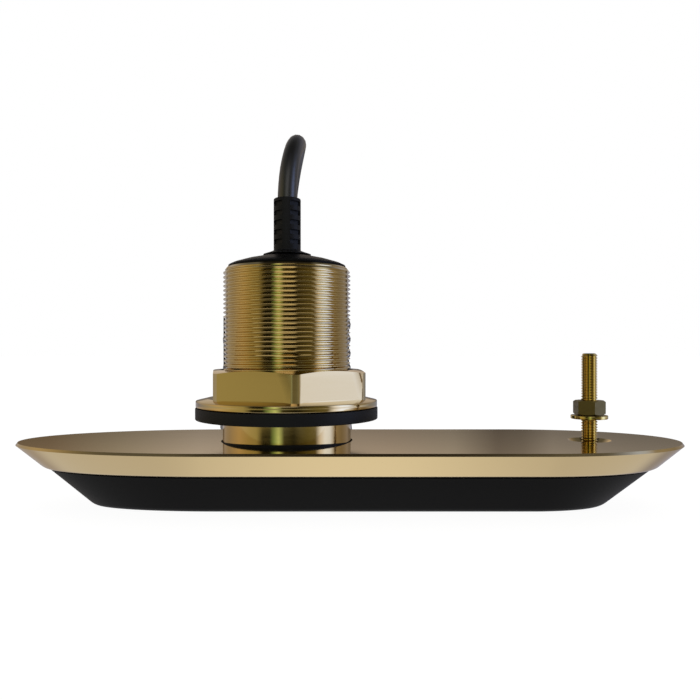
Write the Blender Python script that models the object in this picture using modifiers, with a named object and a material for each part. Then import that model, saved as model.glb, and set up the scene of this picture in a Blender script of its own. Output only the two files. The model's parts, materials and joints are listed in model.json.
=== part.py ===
"""Bronze through-hull sonar transducer: a boat-shaped housing with a threaded stem, its hull nut,
a black acoustic window with the arrays inside, an anti-rotation stud, and the cable with its plug."""

import math

import bmesh
import bpy
from mathutils import Matrix, Vector

MM = 0.001
GAP = 0.3 * MM

# Housing plate: half an ellipse at each end of a straight middle, the long one at the bow (-X)
HALF_WIDTH = 39.8 * MM
BOW_LENGTH = 81.0 * MM
STERN_LENGTH = 61.9 * MM
STRAIGHT_LENGTH = 120.2 * MM
BODY_HEIGHT = 25.7 * MM
TOP_CHAMFER = 0.72 * MM
PLATE_THICKNESS = 5.0 * MM
BOW_STEPS = 28
STERN_STEPS = 24

# Rim of the plate: how far its lower corner stands in from the outline, and how deep it lies
RIM_DEPTH = 9.97 * MM
RIM_INSET_BOW = 10.3 * MM
RIM_INSET_SIDE = 11.2 * MM
RIM_INSET_STERN = 9.7 * MM
RIM_ROUND = 1.1 * MM
LIP_WIDTH = 2.5 * MM
LIP_DROP = 0.6 * MM

# Acoustic window under the rim
WINDOW_BOTTOM_INSET_BOW = 30.4 * MM
WINDOW_BOTTOM_INSET_SIDE = 24.6 * MM
WINDOW_BOTTOM_INSET_STERN = 31.3 * MM
WINDOW_EDGE_RISE = 2.8 * MM
WINDOW_EDGE_FLAT = 4.0 * MM
WINDOW_WALL = 3.6 * MM
WINDOW_FLOOR = 3.0 * MM
SPIGOT_SHOULDER = 3.2 * MM
SPIGOT_WALL = 3.0 * MM
SHOULDER_RISE = 0.1 * MM
GASKET_THICKNESS = 1.2 * MM
CAVITY_KNEE = 10.7 * MM

# Stem, cast in one with the plate
STEM_X = -25.0 * MM
STEM_HEIGHT = 68.5 * MM
STEM_RADIUS = 25.25 * MM
STEM_BORE = 19.5 * MM
STEM_TOP_CHAMFER = 0.85 * MM
NECK_RADIUS = 25.4 * MM
NECK_HEIGHT = 13.8 * MM

# Seal groove round the foot of the stem, and the seal's lip, which rises away from the centreline
GROOVE_RADIUS = 27.0 * MM
GROOVE_DEPTH = 1.8 * MM
SEAL_LIP = 0.55 * MM
SEAL_RISE = 0.0854
SEAL_START = -0.74 * MM

# Hull nut and its rubber washer, as far above the plate as the hull is thick
HULL_GAP = 9.2 * MM
WASHER_RADIUS = 36.2 * MM
WASHER_THICKNESS = 4.2 * MM
WASHER_EDGE = 0.9 * MM
FLANGE_STEP = 0.2 * MM
FLANGE_RADIUS = WASHER_RADIUS - FLANGE_STEP
FLANGE_THICKNESS = 2.7 * MM
FLANGE_EDGE = 0.7 * MM
NUT_HEIGHT = 14.6 * MM
NUT_ACROSS_FLATS = 58.4 * MM
NUT_CORNER_RADIUS = 32.9 * MM
NUT_TURN = math.radians(9.7)
THREAD_CLEARANCE = 0.3 * MM

# Stem cap and strain relief
CAP_RADIUS = 23.5 * MM
CAP_RISE = 4.8 * MM
CAP_CROWN_RADIUS = 9.6 * MM
CAP_PLUG_LENGTH = 9.0 * MM
ORING_SECTION = 1.1 * MM
COLLAR_RADIUS = 9.5 * MM
COLLAR_HEIGHT = 1.7 * MM
RELIEF_SLEEVE_RADIUS = 5.4 * MM
RELIEF_SLEEVE_HEIGHT = 20.8 * MM
RELIEF_WINDOWS = 5
RELIEF_WINDOW_HEIGHT = 1.92 * MM
RELIEF_WINDOW_PITCH = 3.8 * MM
RELIEF_WINDOW_WIDTH = 5.1 * MM
RELIEF_TOP_RIB = 1.4 * MM

# Anti-rotation stud with its nut and washer
STUD_REACH = 26.35 * MM
STUD_RADIUS = 3.175 * MM
STUD_HEIGHT = 34.65 * MM
STUD_DEPTH = 8.0 * MM
STUD_TIP = 0.7 * MM
BOSS_RADIUS = 6.5 * MM
BOSS_DROP = 4.2 * MM
SINK_RADIUS = 8.5 * MM
SINK_DEPTH = 1.6 * MM
STUD_WASHER_RADIUS = 7.4 * MM
STUD_WASHER_THICKNESS = 1.1 * MM
STUD_NUT_ACROSS_FLATS = 11.2 * MM
STUD_NUT_HEIGHT = 5.7 * MM
STUD_NUT_TURN = math.radians(1.5)

# Element carrier, arrays and backing pads inside the window
CARRIER_PLATE = 3.0 * MM
CARRIER_CLEARANCE = 0.4 * MM
ARRAY_END_GAP = 3.1 * MM
ARRAY_THICKNESS = 3.5 * MM
ARRAY_TALL = 8.0 * MM
DOWN_ARRAY_WIDTH = 6.0 * MM
ELEMENT_HEIGHT = 5.0 * MM
PAD_THICKNESS = 2.2 * MM
CHIRP_REACH = 19.45 * MM
CHIRP_LENGTH = 28.0 * MM
CHIRP_WIDTH = 14.0 * MM
SENSOR_REACH = 10.35 * MM
SENSOR_RADIUS = 4.0 * MM
SCREW_BOW_REACH = 15.45 * MM
SCREW_STERN_REACH = 8.35 * MM
SCREW_SPREAD = 0.3
SCREW_RADIUS = 1.4 * MM
SCREW_HEAD_RADIUS = 2.8 * MM
SCREW_HEAD_HEIGHT = 2.0 * MM
SCREW_BITE = 2.6 * MM

# Circuit board standing in the stem
BOARD_WIDTH = 32.0 * MM
BOARD_HEIGHT = 44.0 * MM
BOARD_THICKNESS = 1.6 * MM
POST_SPACING = 24.0 * MM
POST_WIDTH = 6.0 * MM
POST_HEIGHT = 12.0 * MM
POST_SEAT = 3.6 * MM
HEADER_SIZE = (14.0 * MM, 8.0 * MM, 6.0 * MM)
TRANSFORMER_RADIUS = 7.0 * MM
TRANSFORMER_HEIGHT = 8.0 * MM
CHOKE_RADIUS = 4.0 * MM
CHOKE_HEIGHT = 7.0 * MM
LEAD_RADIUS = 0.6 * MM
LEAD_HOLE = 1.0 * MM
CORE_RADIUS = 3.0 * MM

# Cable, its hank behind the housing and its plug
CABLE_RADIUS = 3.85 * MM
TURN_PITCH = 7.8 * MM
HANK_COLUMNS = 2
HANK_ROWS = 10
HANK_FOLD = 22.9 * MM
HANK_STRAIGHT = 47.0 * MM
HANK_CENTRE = (-35.9 * MM, 125.7 * MM)
HANK_TURN = math.radians(4.95)
HANK_BASE = 1.2 * MM
TIE_WIDTH = 3.6 * MM
TIE_THICKNESS = 0.8 * MM
PLUG_RADIUS = 8.5 * MM
PLUG_LENGTH = 34.0 * MM
PLUG_NOSE_RADIUS = 5.5 * MM
PLUG_NOSE_LENGTH = 13.0 * MM
COLLAR_NUT_LENGTH = 14.0 * MM
COLLAR_NUT_WALL = 1.5 * MM
PLUG_FACE = 13.0 * MM
TAIL_DROP = 5.95 * MM

ROUND_STEPS = 72
SMALL_STEPS = 32
OVER = 1.0 * MM

TOP = BODY_HEIGHT
CEILING = TOP - PLATE_THICKNESS
HALF_LENGTH = (BOW_LENGTH + STRAIGHT_LENGTH + STERN_LENGTH) / 2
BOW_X = -HALF_LENGTH + BOW_LENGTH
STERN_X = HALF_LENGTH - STERN_LENGTH
STEM_TOP = TOP + STEM_HEIGHT
STUD_X = STERN_X + STUD_REACH
ARRAY_LENGTH = STRAIGHT_LENGTH - 2 * ARRAY_END_GAP
SCREW_Y = SCREW_SPREAD * HALF_WIDTH
CHIRP_X = BOW_X - CHIRP_REACH
SCREW_BOW_X = BOW_X - SCREW_BOW_REACH
SENSOR_X = STERN_X + SENSOR_REACH
SCREW_STERN_X = STERN_X + SCREW_STERN_REACH


def clear_scene():
    for obj in list(bpy.data.objects):
        bpy.data.objects.remove(obj, do_unlink=True)


clear_scene()
PARTS = bpy.data.collections.new("sonar_transducer")
CUTTERS = bpy.data.collections.new("cutters")
for collection in (PARTS, CUTTERS):
    bpy.context.scene.collection.children.link(collection)


def material(name, colour, roughness, metallic=0.0):
    made = bpy.data.materials.new(name)
    made.use_nodes = True
    shader = made.node_tree.nodes["Principled BSDF"]
    shader.inputs["Base Color"].default_value = (*colour, 1.0)
    shader.inputs["Roughness"].default_value = roughness
    shader.inputs["Metallic"].default_value = metallic
    return made


BRONZE = material("bronze", (0.60, 0.45, 0.24), 0.22, 1.0)
BRASS = material("brass", (0.62, 0.46, 0.22), 0.25, 1.0)
STEEL = material("steel", (0.62, 0.62, 0.60), 0.30, 1.0)
COPPER = material("copper", (0.70, 0.38, 0.22), 0.35, 1.0)
URETHANE = material("black_urethane", (0.012, 0.012, 0.012), 0.42)
RUBBER = material("black_rubber", (0.014, 0.014, 0.015), 0.62)
JACKET = material("cable_jacket", (0.016, 0.016, 0.017), 0.45)
MOULDING = material("grey_moulding", (0.22, 0.23, 0.24), 0.55)
CERAMIC = material("ceramic", (0.62, 0.58, 0.50), 0.60)
CORK = material("backing_cork", (0.35, 0.22, 0.12), 0.85)
BOARD = material("circuit_board", (0.03, 0.16, 0.07), 0.45)
FERRITE = material("ferrite", (0.06, 0.06, 0.065), 0.70)


def place(name, mesh, finish, collection=PARTS):
    obj = bpy.data.objects.new(name, mesh)
    collection.objects.link(obj)
    if finish is not None:
        mesh.materials.append(finish)
    if collection is CUTTERS:
        obj.hide_render = True
        obj.display_type = "WIRE"
    return obj


def mesh_of(name, bm):
    mesh = bpy.data.meshes.new(name)
    bmesh.ops.recalc_face_normals(bm, faces=bm.faces)
    bm.to_mesh(mesh)
    bm.free()
    return mesh


def smooth(obj, angle=30.0):
    obj.data.shade_smooth()
    obj.data.set_sharp_from_angle(angle=math.radians(angle))


def loft(name, rings, finish, collection=PARTS):
    """A solid through rings of points, with a flat cap at each end."""
    bm = bmesh.new()
    edges = []
    for ring in rings:
        verts = [bm.verts.new(point) for point in ring]
        edges.append([bm.edges.new((verts[i - 1], verts[i])) for i in range(len(verts))])
    for first, second in zip(edges, edges[1:]):
        bmesh.ops.bridge_loops(bm, edges=first + second)
    for loop in (edges[0], edges[-1]):
        bmesh.ops.contextual_create(bm, geom=loop)
    obj = place(name, mesh_of(name, bm), finish, collection)
    smooth(obj)
    return obj


def boat_ring(inset, z):
    """The plate's outline at height z, with its bow, side and stern pulled in by the three insets."""
    bow, side, stern = inset
    width = HALF_WIDTH - side
    points = []
    for i in range(BOW_STEPS + 1):
        angle = math.pi / 2 + math.pi * i / BOW_STEPS
        points.append((BOW_X + (BOW_LENGTH - bow) * math.cos(angle), width * math.sin(angle), z))
    for i in range(STERN_STEPS + 1):
        angle = -math.pi / 2 + math.pi * i / STERN_STEPS
        points.append((STERN_X + (STERN_LENGTH - stern) * math.cos(angle), width * math.sin(angle), z))
    return points


def more(inset, by):
    return tuple(value + by for value in inset)


def between(first, second, share):
    return tuple(a + (b - a) * share for a, b in zip(first, second))


def eased_corner(before, corner, after, steps):
    """Points of a smooth curve from before to after, pulled towards the corner between them."""
    points = []
    for i in range(steps + 1):
        t = i / steps
        points.append(between(between(before, corner, t), between(corner, after, t), t))
    return points


def turned(name, profile, finish, centre=(0.0, 0.0), steps=ROUND_STEPS, collection=PARTS):
    """A profile of (radius, height) points turned about the vertical through centre.
    It runs down its outer side. One that starts and ends on the axis is solid, else it closes into a ring."""
    mesh = bpy.data.meshes.new(name)
    verts = [(radius, 0.0, height) for radius, height in profile]
    edges = [(i, i + 1) for i in range(len(verts) - 1)]
    if profile[0][0] > 0:
        edges.append((len(verts) - 1, 0))
    mesh.from_pydata(verts, edges, [])
    obj = place(name, mesh, finish, collection)
    obj.location = (centre[0], centre[1], 0.0)
    screw = obj.modifiers.new("Turn", "SCREW")
    screw.axis = "Z"
    screw.angle = 2 * math.pi
    screw.steps = steps
    screw.render_steps = steps
    screw.use_merge_vertices = True
    screw.merge_threshold = 0.00001
    screw.use_smooth_shade = True
    return obj


def box(name, low, high, finish, collection=PARTS, turn=None, about=(0.0, 0.0, 0.0)):
    """A box between two corners, turned by a matrix about a point if one is given."""
    bm = bmesh.new()
    bmesh.ops.create_cube(bm, size=1.0)
    size = Vector(high) - Vector(low)
    bmesh.ops.scale(bm, vec=size, verts=bm.verts)
    bmesh.ops.translate(bm, vec=(Vector(low) + Vector(high)) / 2, verts=bm.verts)
    if turn is not None:
        bmesh.ops.rotate(bm, cent=about, matrix=turn, verts=bm.verts)
    return place(name, mesh_of(name, bm), finish, collection)


def prism(name, outline, low, high, finish, collection=PARTS, axis="Z"):
    """A flat outline pushed along Z or X. Its points are (x, y) for Z and (y, z) for X."""
    bm = bmesh.new()
    if axis == "Z":
        verts = [bm.verts.new((a, b, low)) for a, b in outline]
        push = Vector((0.0, 0.0, high - low))
    else:
        verts = [bm.verts.new((low, a, b)) for a, b in outline]
        push = Vector((high - low, 0.0, 0.0))
    face = bm.faces.new(verts)
    made = bmesh.ops.extrude_face_region(bm, geom=[face], use_keep_orig=True)
    moved = [item for item in made["geom"] if isinstance(item, bmesh.types.BMVert)]
    bmesh.ops.translate(bm, vec=push, verts=moved)
    return place(name, mesh_of(name, bm), finish, collection)


def boolean(target, other, operation):
    """Joins, cuts or intersects target with other, which becomes a hidden helper."""
    modifier = target.modifiers.new(f"{operation.title()} {other.name}", "BOOLEAN")
    modifier.operation = operation
    modifier.solver = "EXACT"
    modifier.object = other
    # Welds the points that a Boolean leaves a rounding error apart, on which the next one could fail
    weld = target.modifiers.new(f"Weld {other.name}", "WELD")
    weld.merge_threshold = 0.001 * MM
    return target


def cut(target, *cutters):
    for cutter in cutters:
        boolean(target, cutter, "DIFFERENCE")


def join(target, *others):
    for other in others:
        boolean(target, other, "UNION")


def smooth_path(points, spacing):
    """Points about one spacing apart on a smooth curve through the given ones."""
    ends = [2 * points[0] - points[1]] + points + [2 * points[-1] - points[-2]]
    path = [points[0]]
    for a, b, c, d in zip(ends, ends[1:], ends[2:], ends[3:]):
        steps = max(1, round((c - b).length / spacing))
        for i in range(1, steps + 1):
            t = i / steps
            path.append(
                0.5 * (2 * b + (c - a) * t + (2 * a - 5 * b + 4 * c - d) * t**2 + (3 * b - a - 3 * c + d) * t**3)
            )
    return path


def tube(name, points, radius, finish, resolution=2):
    curve = bpy.data.curves.new(name, "CURVE")
    curve.dimensions = "3D"
    curve.bevel_depth = radius
    curve.bevel_resolution = resolution
    curve.use_fill_caps = True
    spline = curve.splines.new("POLY")
    spline.points.add(len(points) - 1)
    for point, place_of in zip(spline.points, points):
        point.co = (*place_of, 1.0)
    obj = bpy.data.objects.new(name, curve)
    curve.materials.append(finish)
    PARTS.objects.link(obj)
    return obj


def hex_outline(across_flats, turn, centre):
    """Corners of a hexagon, one of them turned from the front towards +X."""
    radius = across_flats / 2 / math.cos(math.pi / 6)
    points = []
    for i in range(6):
        angle = turn - math.pi / 2 + math.pi / 3 * i
        points.append((centre[0] + radius * math.cos(angle), centre[1] + radius * math.sin(angle)))
    return points


# Housing: plate, rim, stem and boss in one casting
RIM_INSET = (RIM_INSET_BOW, RIM_INSET_SIDE, RIM_INSET_STERN)
LIP_INSET = more(RIM_INSET, LIP_WIDTH)
SPIGOT_INSET = more(LIP_INSET, SPIGOT_SHOULDER)
LIP_Z = TOP - RIM_DEPTH - LIP_DROP


def housing():
    wall_top = (0.0, 0.0, 0.0, TOP - TOP_CHAMFER)
    corner = (*RIM_INSET, TOP - RIM_DEPTH)
    lip = (*LIP_INSET, LIP_Z)
    before = between(corner, wall_top, RIM_ROUND / RIM_DEPTH)
    after = between(corner, lip, RIM_ROUND / LIP_WIDTH)
    sections = [(TOP_CHAMFER, TOP_CHAMFER, TOP_CHAMFER, TOP), wall_top]
    sections += eased_corner(before, corner, after, 4)
    sections.append(lip)
    rings = [boat_ring(section[:3], section[3]) for section in sections]
    body = loft("housing", rings, BRONZE)
    axis = (STEM_X, 0.0)
    stem = turned(
        "stem_form",
        [
            (0.0, STEM_TOP),
            (STEM_RADIUS - STEM_TOP_CHAMFER, STEM_TOP),
            (STEM_RADIUS, STEM_TOP - STEM_TOP_CHAMFER),
            (STEM_RADIUS, TOP + NECK_HEIGHT),
            (NECK_RADIUS, TOP + NECK_HEIGHT - (NECK_RADIUS - STEM_RADIUS)),
            (NECK_RADIUS, TOP - PLATE_THICKNESS / 2),
            (0.0, TOP - PLATE_THICKNESS / 2),
        ],
        None,
        axis,
        collection=CUTTERS,
    )
    pocket_inset = more(SPIGOT_INSET, -GAP)
    pocket = loft(
        "pocket_form",
        [boat_ring(pocket_inset, CEILING), boat_ring(pocket_inset, LIP_Z - OVER)],
        None,
        CUTTERS,
    )
    bore = turned(
        "bore_form",
        [(0.0, STEM_TOP + OVER), (STEM_BORE, STEM_TOP + OVER), (STEM_BORE, LIP_Z - OVER), (0.0, LIP_Z - OVER)],
        None,
        axis,
        collection=CUTTERS,
    )
    boss = turned(
        "boss_form",
        [
            (0.0, TOP - PLATE_THICKNESS / 2),
            (BOSS_RADIUS, TOP - PLATE_THICKNESS / 2),
            (BOSS_RADIUS, CEILING - BOSS_DROP),
            (0.0, CEILING - BOSS_DROP),
        ],
        None,
        (STUD_X, 0.0),
        SMALL_STEPS,
        CUTTERS,
    )
    stud_hole = STUD_RADIUS + THREAD_CLEARANCE
    hole_floor = TOP - STUD_DEPTH - GAP
    sink = turned(
        "stud_hole_form",
        [
            (0.0, TOP + OVER),
            (SINK_RADIUS + OVER, TOP + OVER),
            (SINK_RADIUS - SINK_DEPTH, TOP - SINK_DEPTH),
            (stud_hole, TOP - SINK_DEPTH),
            (stud_hole, hole_floor),
            (0.0, hole_floor),
        ],
        None,
        (STUD_X, 0.0),
        SMALL_STEPS,
        CUTTERS,
    )
    well = turned(
        "groove_form",
        [
            (0.0, TOP + OVER),
            (GROOVE_RADIUS, TOP + OVER),
            (GROOVE_RADIUS, TOP - GROOVE_DEPTH),
            (0.0, TOP - GROOVE_DEPTH),
        ],
        None,
        axis,
        collection=CUTTERS,
    )
    cut(body, well)
    join(body, stem)
    cut(body, pocket)
    join(body, boss)
    cut(body, bore, sink)
    for x, y in screw_places():
        hole = turned(
            f"screw_hole_form_{x:.3f}_{y:.3f}",
            [
                (0.0, CEILING + SCREW_BITE + GAP),
                (SCREW_RADIUS + GAP, CEILING + SCREW_BITE + GAP),
                (SCREW_RADIUS + GAP, CEILING - OVER),
                (0.0, CEILING - OVER),
            ],
            None,
            (x, y),
            12,
            CUTTERS,
        )
        cut(body, hole)
    smooth(body)
    return body


def stem_seal_ring():
    """The rubber ring in the groove. Its lip stands up the neck at the front and the back, where the
    plate narrows, and two slanted cuts bring it down to the plate at the sides."""
    inner = NECK_RADIUS + GAP / 2
    outer = GROOVE_RADIUS - GAP / 2
    seal = turned(
        "stem_seal_ring",
        [
            (inner, TOP + HULL_GAP / 2),
            (inner + SEAL_LIP, TOP + HULL_GAP / 2),
            (inner + SEAL_LIP, TOP - GAP),
            (outer, TOP - GAP),
            (outer, TOP - GROOVE_DEPTH + GAP),
            (inner, TOP - GROOVE_DEPTH + GAP),
        ],
        RUBBER,
        (STEM_X, 0.0),
    )
    reach = GROOVE_RADIUS + OVER
    low = TOP + SEAL_START
    outline = [
        (0.0, low),
        (reach, low + SEAL_RISE * reach),
        (reach, TOP + HULL_GAP),
        (-reach, TOP + HULL_GAP),
        (-reach, low + SEAL_RISE * reach),
    ]
    cut(seal, prism("seal_top_form", outline, STEM_X - reach, STEM_X + reach, None, CUTTERS, axis="X"))
    return seal


def screw_places():
    return [(x, y) for x in (SCREW_BOW_X, SCREW_STERN_X) for y in (-SCREW_Y, SCREW_Y)]


# Acoustic window: a moulded shell whose spigot stands up into the housing
def acoustic_window():
    bottom = (WINDOW_BOTTOM_INSET_BOW, WINDOW_BOTTOM_INSET_SIDE, WINDOW_BOTTOM_INSET_STERN, 0.0)
    rim = (*LIP_INSET, LIP_Z - GAP)
    before = between(bottom, rim, WINDOW_EDGE_RISE / rim[3])
    after = (*more(bottom[:3], WINDOW_EDGE_FLAT), 0.0)
    spigot = SPIGOT_INSET
    cavity = more(spigot, SPIGOT_WALL)
    spigot_top = CEILING - GAP - GASKET_THICKNESS - GAP
    floor_share = 1 - WINDOW_FLOOR / rim[3]
    floor = more(between(rim[:3], bottom[:3], floor_share), WINDOW_WALL)
    shell = [(*spigot, spigot_top), (*spigot, rim[3] + SHOULDER_RISE), rim]
    shell += eased_corner(before, bottom, after, 5)
    outside = loft("acoustic_window", [boat_ring(part[:3], part[3]) for part in shell], URETHANE)
    hollow = [(*cavity, spigot_top + OVER), (*cavity, CAVITY_KNEE), (*floor, WINDOW_FLOOR)]
    inside = loft("window_cavity_form", [boat_ring(part[:3], part[3]) for part in hollow], None, CUTTERS)
    cut(outside, inside)
    low = spigot_top + GAP
    high = low + GASKET_THICKNESS
    gasket = loft("window_gasket", [boat_ring(spigot, high), boat_ring(spigot, low)], RUBBER)
    opening = loft(
        "gasket_opening_form", [boat_ring(cavity, high + OVER), boat_ring(cavity, low - OVER)], None, CUTTERS
    )
    cut(gasket, opening)
    return floor


# Side walls of the cavity, along which the two sidescan arrays lie
def side_frame(floor):
    """A point on the cavity's side wall, the way up it and the way out of it, in the Y-Z plane."""
    foot = Vector((0.0, HALF_WIDTH - floor[1], WINDOW_FLOOR))
    knee = Vector((0.0, HALF_WIDTH - SPIGOT_INSET[1] - SPIGOT_WALL, CAVITY_KNEE))
    up = (knee - foot).normalized()
    out = Vector((0.0, up.z, -up.y))
    return (foot + knee) / 2, up, out


def sloped_bar(name, middle, up, out, offset, thickness, tall, length, finish):
    """A bar along X that lies against the sloped wall, its near face a given offset inside it."""
    centre = middle - out * (offset + thickness / 2)
    half = Vector((length / 2, thickness / 2, tall / 2))
    turn = Matrix(((1.0, 0.0, 0.0), (0.0, out.y, up.y), (0.0, out.z, up.z)))
    bm = bmesh.new()
    bmesh.ops.create_cube(bm, size=2.0)
    bmesh.ops.scale(bm, vec=half, verts=bm.verts)
    bmesh.ops.rotate(bm, cent=(0.0, 0.0, 0.0), matrix=turn, verts=bm.verts)
    bmesh.ops.translate(bm, vec=centre + Vector(((BOW_X + STERN_X) / 2, 0.0, 0.0)), verts=bm.verts)
    return place(name, mesh_of(name, bm), finish)


def arrays(floor):
    middle, up, out = side_frame(floor)
    pad_offset = GAP + ARRAY_THICKNESS + GAP
    for side, sign in (("port", 1.0), ("starboard", -1.0)):
        point = Vector((0.0, middle.y * sign, middle.z))
        rise = Vector((0.0, up.y * sign, up.z))
        away = Vector((0.0, out.y * sign, out.z))
        sloped_bar(
            f"{side}_sidescan_array", point, rise, away, GAP, ARRAY_THICKNESS, ARRAY_TALL, ARRAY_LENGTH, CERAMIC
        )
        sloped_bar(
            f"{side}_backing_pad", point, rise, away, pad_offset, PAD_THICKNESS, ARRAY_TALL, ARRAY_LENGTH, CORK
        )
    low = WINDOW_FLOOR + GAP
    pad_low = low + ELEMENT_HEIGHT + GAP
    centre_x = (BOW_X + STERN_X) / 2
    for name, x, length, width in (
        ("downscan", centre_x, ARRAY_LENGTH, DOWN_ARRAY_WIDTH),
        ("chirp", CHIRP_X, CHIRP_LENGTH, CHIRP_WIDTH),
    ):
        half = (length / 2, width / 2)
        box(f"{name}_array", (x - half[0], -half[1], low), (x + half[0], half[1], low + ELEMENT_HEIGHT), CERAMIC)
        box(
            f"{name}_backing_pad",
            (x - half[0], -half[1], pad_low),
            (x + half[0], half[1], pad_low + PAD_THICKNESS),
            CORK,
        )
    turned(
        "temperature_sensor",
        [
            (0.0, pad_low + PAD_THICKNESS),
            (SENSOR_RADIUS, pad_low + PAD_THICKNESS),
            (SENSOR_RADIUS, low),
            (0.0, low),
        ],
        STEEL,
        (SENSOR_X, 0.0),
        SMALL_STEPS,
    )
    return pad_low + PAD_THICKNESS + GAP


def element_carrier(floor, underside):
    """The moulded tray that holds the arrays down and is screwed to the housing."""
    plate_top = CEILING - GAP
    plate_low = plate_top - CARRIER_PLATE
    inset = more(SPIGOT_INSET, SPIGOT_WALL + CARRIER_CLEARANCE)
    carrier = loft("element_carrier", [boat_ring(inset, plate_top), boat_ring(inset, plate_low)], MOULDING)
    middle, up, out = side_frame(floor)
    face = middle - out * (GAP + ARRAY_THICKNESS + GAP + PAD_THICKNESS + GAP)

    def width_at(z):
        return face.y + (z - face.z) * up.y / up.z

    into_plate = plate_low + CARRIER_PLATE / 2
    outline = [
        (-width_at(into_plate), into_plate),
        (-width_at(underside), underside),
        (width_at(underside), underside),
        (width_at(into_plate), into_plate),
    ]
    body = prism("carrier_body_form", outline, BOW_X + GAP, STERN_X - GAP, None, CUTTERS, axis="X")
    bow_block = box(
        "carrier_bow_form",
        (CHIRP_X - CHIRP_LENGTH / 2 - 2 * MM, -CHIRP_WIDTH / 2, underside),
        (BOW_X + 4 * MM, CHIRP_WIDTH / 2, into_plate),
        None,
        CUTTERS,
    )
    stern_block = box(
        "carrier_stern_form",
        (STERN_X - 4 * MM, -SENSOR_RADIUS - 2 * MM, underside),
        (SENSOR_X + SENSOR_RADIUS + 2 * MM, SENSOR_RADIUS + 2 * MM, into_plate),
        None,
        CUTTERS,
    )
    join(carrier, body, bow_block, stern_block)
    seat = plate_top + POST_SEAT
    for side in (-1, 1):
        x = STEM_X + side * POST_SPACING / 2
        half = POST_WIDTH / 2
        post = box(
            f"carrier_post_form_{side}",
            (x - half, -half, plate_top - CARRIER_PLATE / 2),
            (x + half, half, plate_top + POST_HEIGHT),
            None,
            CUTTERS,
        )
        join(carrier, post)
    slot_half = BOARD_THICKNESS / 2 + GAP
    slot = box(
        "board_slot_form",
        (STEM_X - POST_SPACING, -slot_half, seat),
        (STEM_X + POST_SPACING, slot_half, plate_top + POST_HEIGHT + OVER),
        None,
        CUTTERS,
    )
    boss_gap = turned(
        "boss_gap_form",
        [
            (0.0, plate_top + OVER),
            (BOSS_RADIUS + CARRIER_CLEARANCE, plate_top + OVER),
            (BOSS_RADIUS + CARRIER_CLEARANCE, plate_low - OVER),
            (0.0, plate_low - OVER),
        ],
        None,
        (STUD_X, 0.0),
        SMALL_STEPS,
        CUTTERS,
    )
    cut(carrier, slot, boss_gap)
    holes = [(x, y, SCREW_RADIUS + GAP) for x, y in screw_places()]
    holes += [(x, y, LEAD_HOLE) for x, y in lead_places()]
    for i, (x, y, radius) in enumerate(holes):
        hole = turned(
            f"carrier_hole_form_{i}",
            [(0.0, plate_top + OVER), (radius, plate_top + OVER), (radius, WINDOW_FLOOR), (0.0, WINDOW_FLOOR)],
            None,
            (x, y),
            12,
            CUTTERS,
        )
        cut(carrier, hole)
    for i, (x, y) in enumerate(screw_places(), 1):
        head = plate_low - GAP
        turned(
            f"carrier_screw_{i}",
            [
                (0.0, CEILING + SCREW_BITE),
                (SCREW_RADIUS, CEILING + SCREW_BITE),
                (SCREW_RADIUS, head),
                (SCREW_HEAD_RADIUS, head),
                (SCREW_HEAD_RADIUS, head - SCREW_HEAD_HEIGHT / 2),
                (SCREW_HEAD_RADIUS * 0.7, head - SCREW_HEAD_HEIGHT),
                (0.0, head - SCREW_HEAD_HEIGHT),
            ],
            STEEL,
            (x, y),
            16,
        )
    smooth(carrier)
    return seat, face, up


def lead_places():
    """Where the three leads rise through the carrier: from the port, starboard and downscan arrays."""
    return [(STEM_X - 6 * MM, 13 * MM), (STEM_X - 6 * MM, -13 * MM), (STEM_X, 0.0)]


def electronics(seat, face, up, underside):
    """The circuit board in its slot, what is soldered to it, and the leads and cable core that reach it."""
    low = seat + GAP
    high = low + BOARD_HEIGHT
    half = BOARD_THICKNESS / 2
    box("circuit_board", (STEM_X - BOARD_WIDTH / 2, -half, low), (STEM_X + BOARD_WIDTH / 2, half, high), BOARD)
    size = HEADER_SIZE
    header_low = high + GAP
    box(
        "board_header",
        (STEM_X - size[0] / 2, -size[1] / 2, header_low),
        (STEM_X + size[0] / 2, size[1] / 2, header_low + size[2]),
        MOULDING,
    )
    for name, radius, height, side, z in (
        ("matching_transformer", TRANSFORMER_RADIUS, TRANSFORMER_HEIGHT, -1, low + BOARD_HEIGHT * 0.62),
        ("filter_choke", CHOKE_RADIUS, CHOKE_HEIGHT, 1, low + BOARD_HEIGHT * 0.70),
    ):
        bm = bmesh.new()
        bmesh.ops.create_cone(
            bm, cap_ends=True, segments=SMALL_STEPS, radius1=radius, radius2=radius, depth=height
        )
        bmesh.ops.rotate(bm, cent=(0.0, 0.0, 0.0), matrix=Matrix.Rotation(math.pi / 2, 3, "X"), verts=bm.verts)
        y = side * (half + GAP + height / 2)
        bmesh.ops.translate(bm, vec=(STEM_X, y, z), verts=bm.verts)
        smooth(place(name, mesh_of(name, bm), FERRITE))
    places = lead_places()
    touch = half + GAP + LEAD_RADIUS
    for (x, y), name in zip(places[:2], ("port_lead", "starboard_lead")):
        sign = 1 if y > 0 else -1
        start = face.z + (abs(y) - face.y) * up.z / up.y + GAP
        route = [(x, y, start), (x, y, low - 2 * MM), (x, y * 0.9, low + 3 * MM), (x, sign * touch * 2.2, low + 9 * MM)]
        route.append((x, sign * touch, low + 15 * MM))
        tube(name, smooth_path([Vector(point) for point in route], 2.5 * MM), LEAD_RADIUS, COPPER)
    x, y = places[2]
    tube("downscan_lead", [Vector((x, y, underside)), Vector((x, y, low - GAP))], LEAD_RADIUS, COPPER)
    core_low = header_low + size[2] + GAP
    tube("cable_core", [Vector((STEM_X, 0.0, core_low)), Vector((STEM_X, 0.0, CAP_TOP))], CORE_RADIUS, JACKET, 4)


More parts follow.
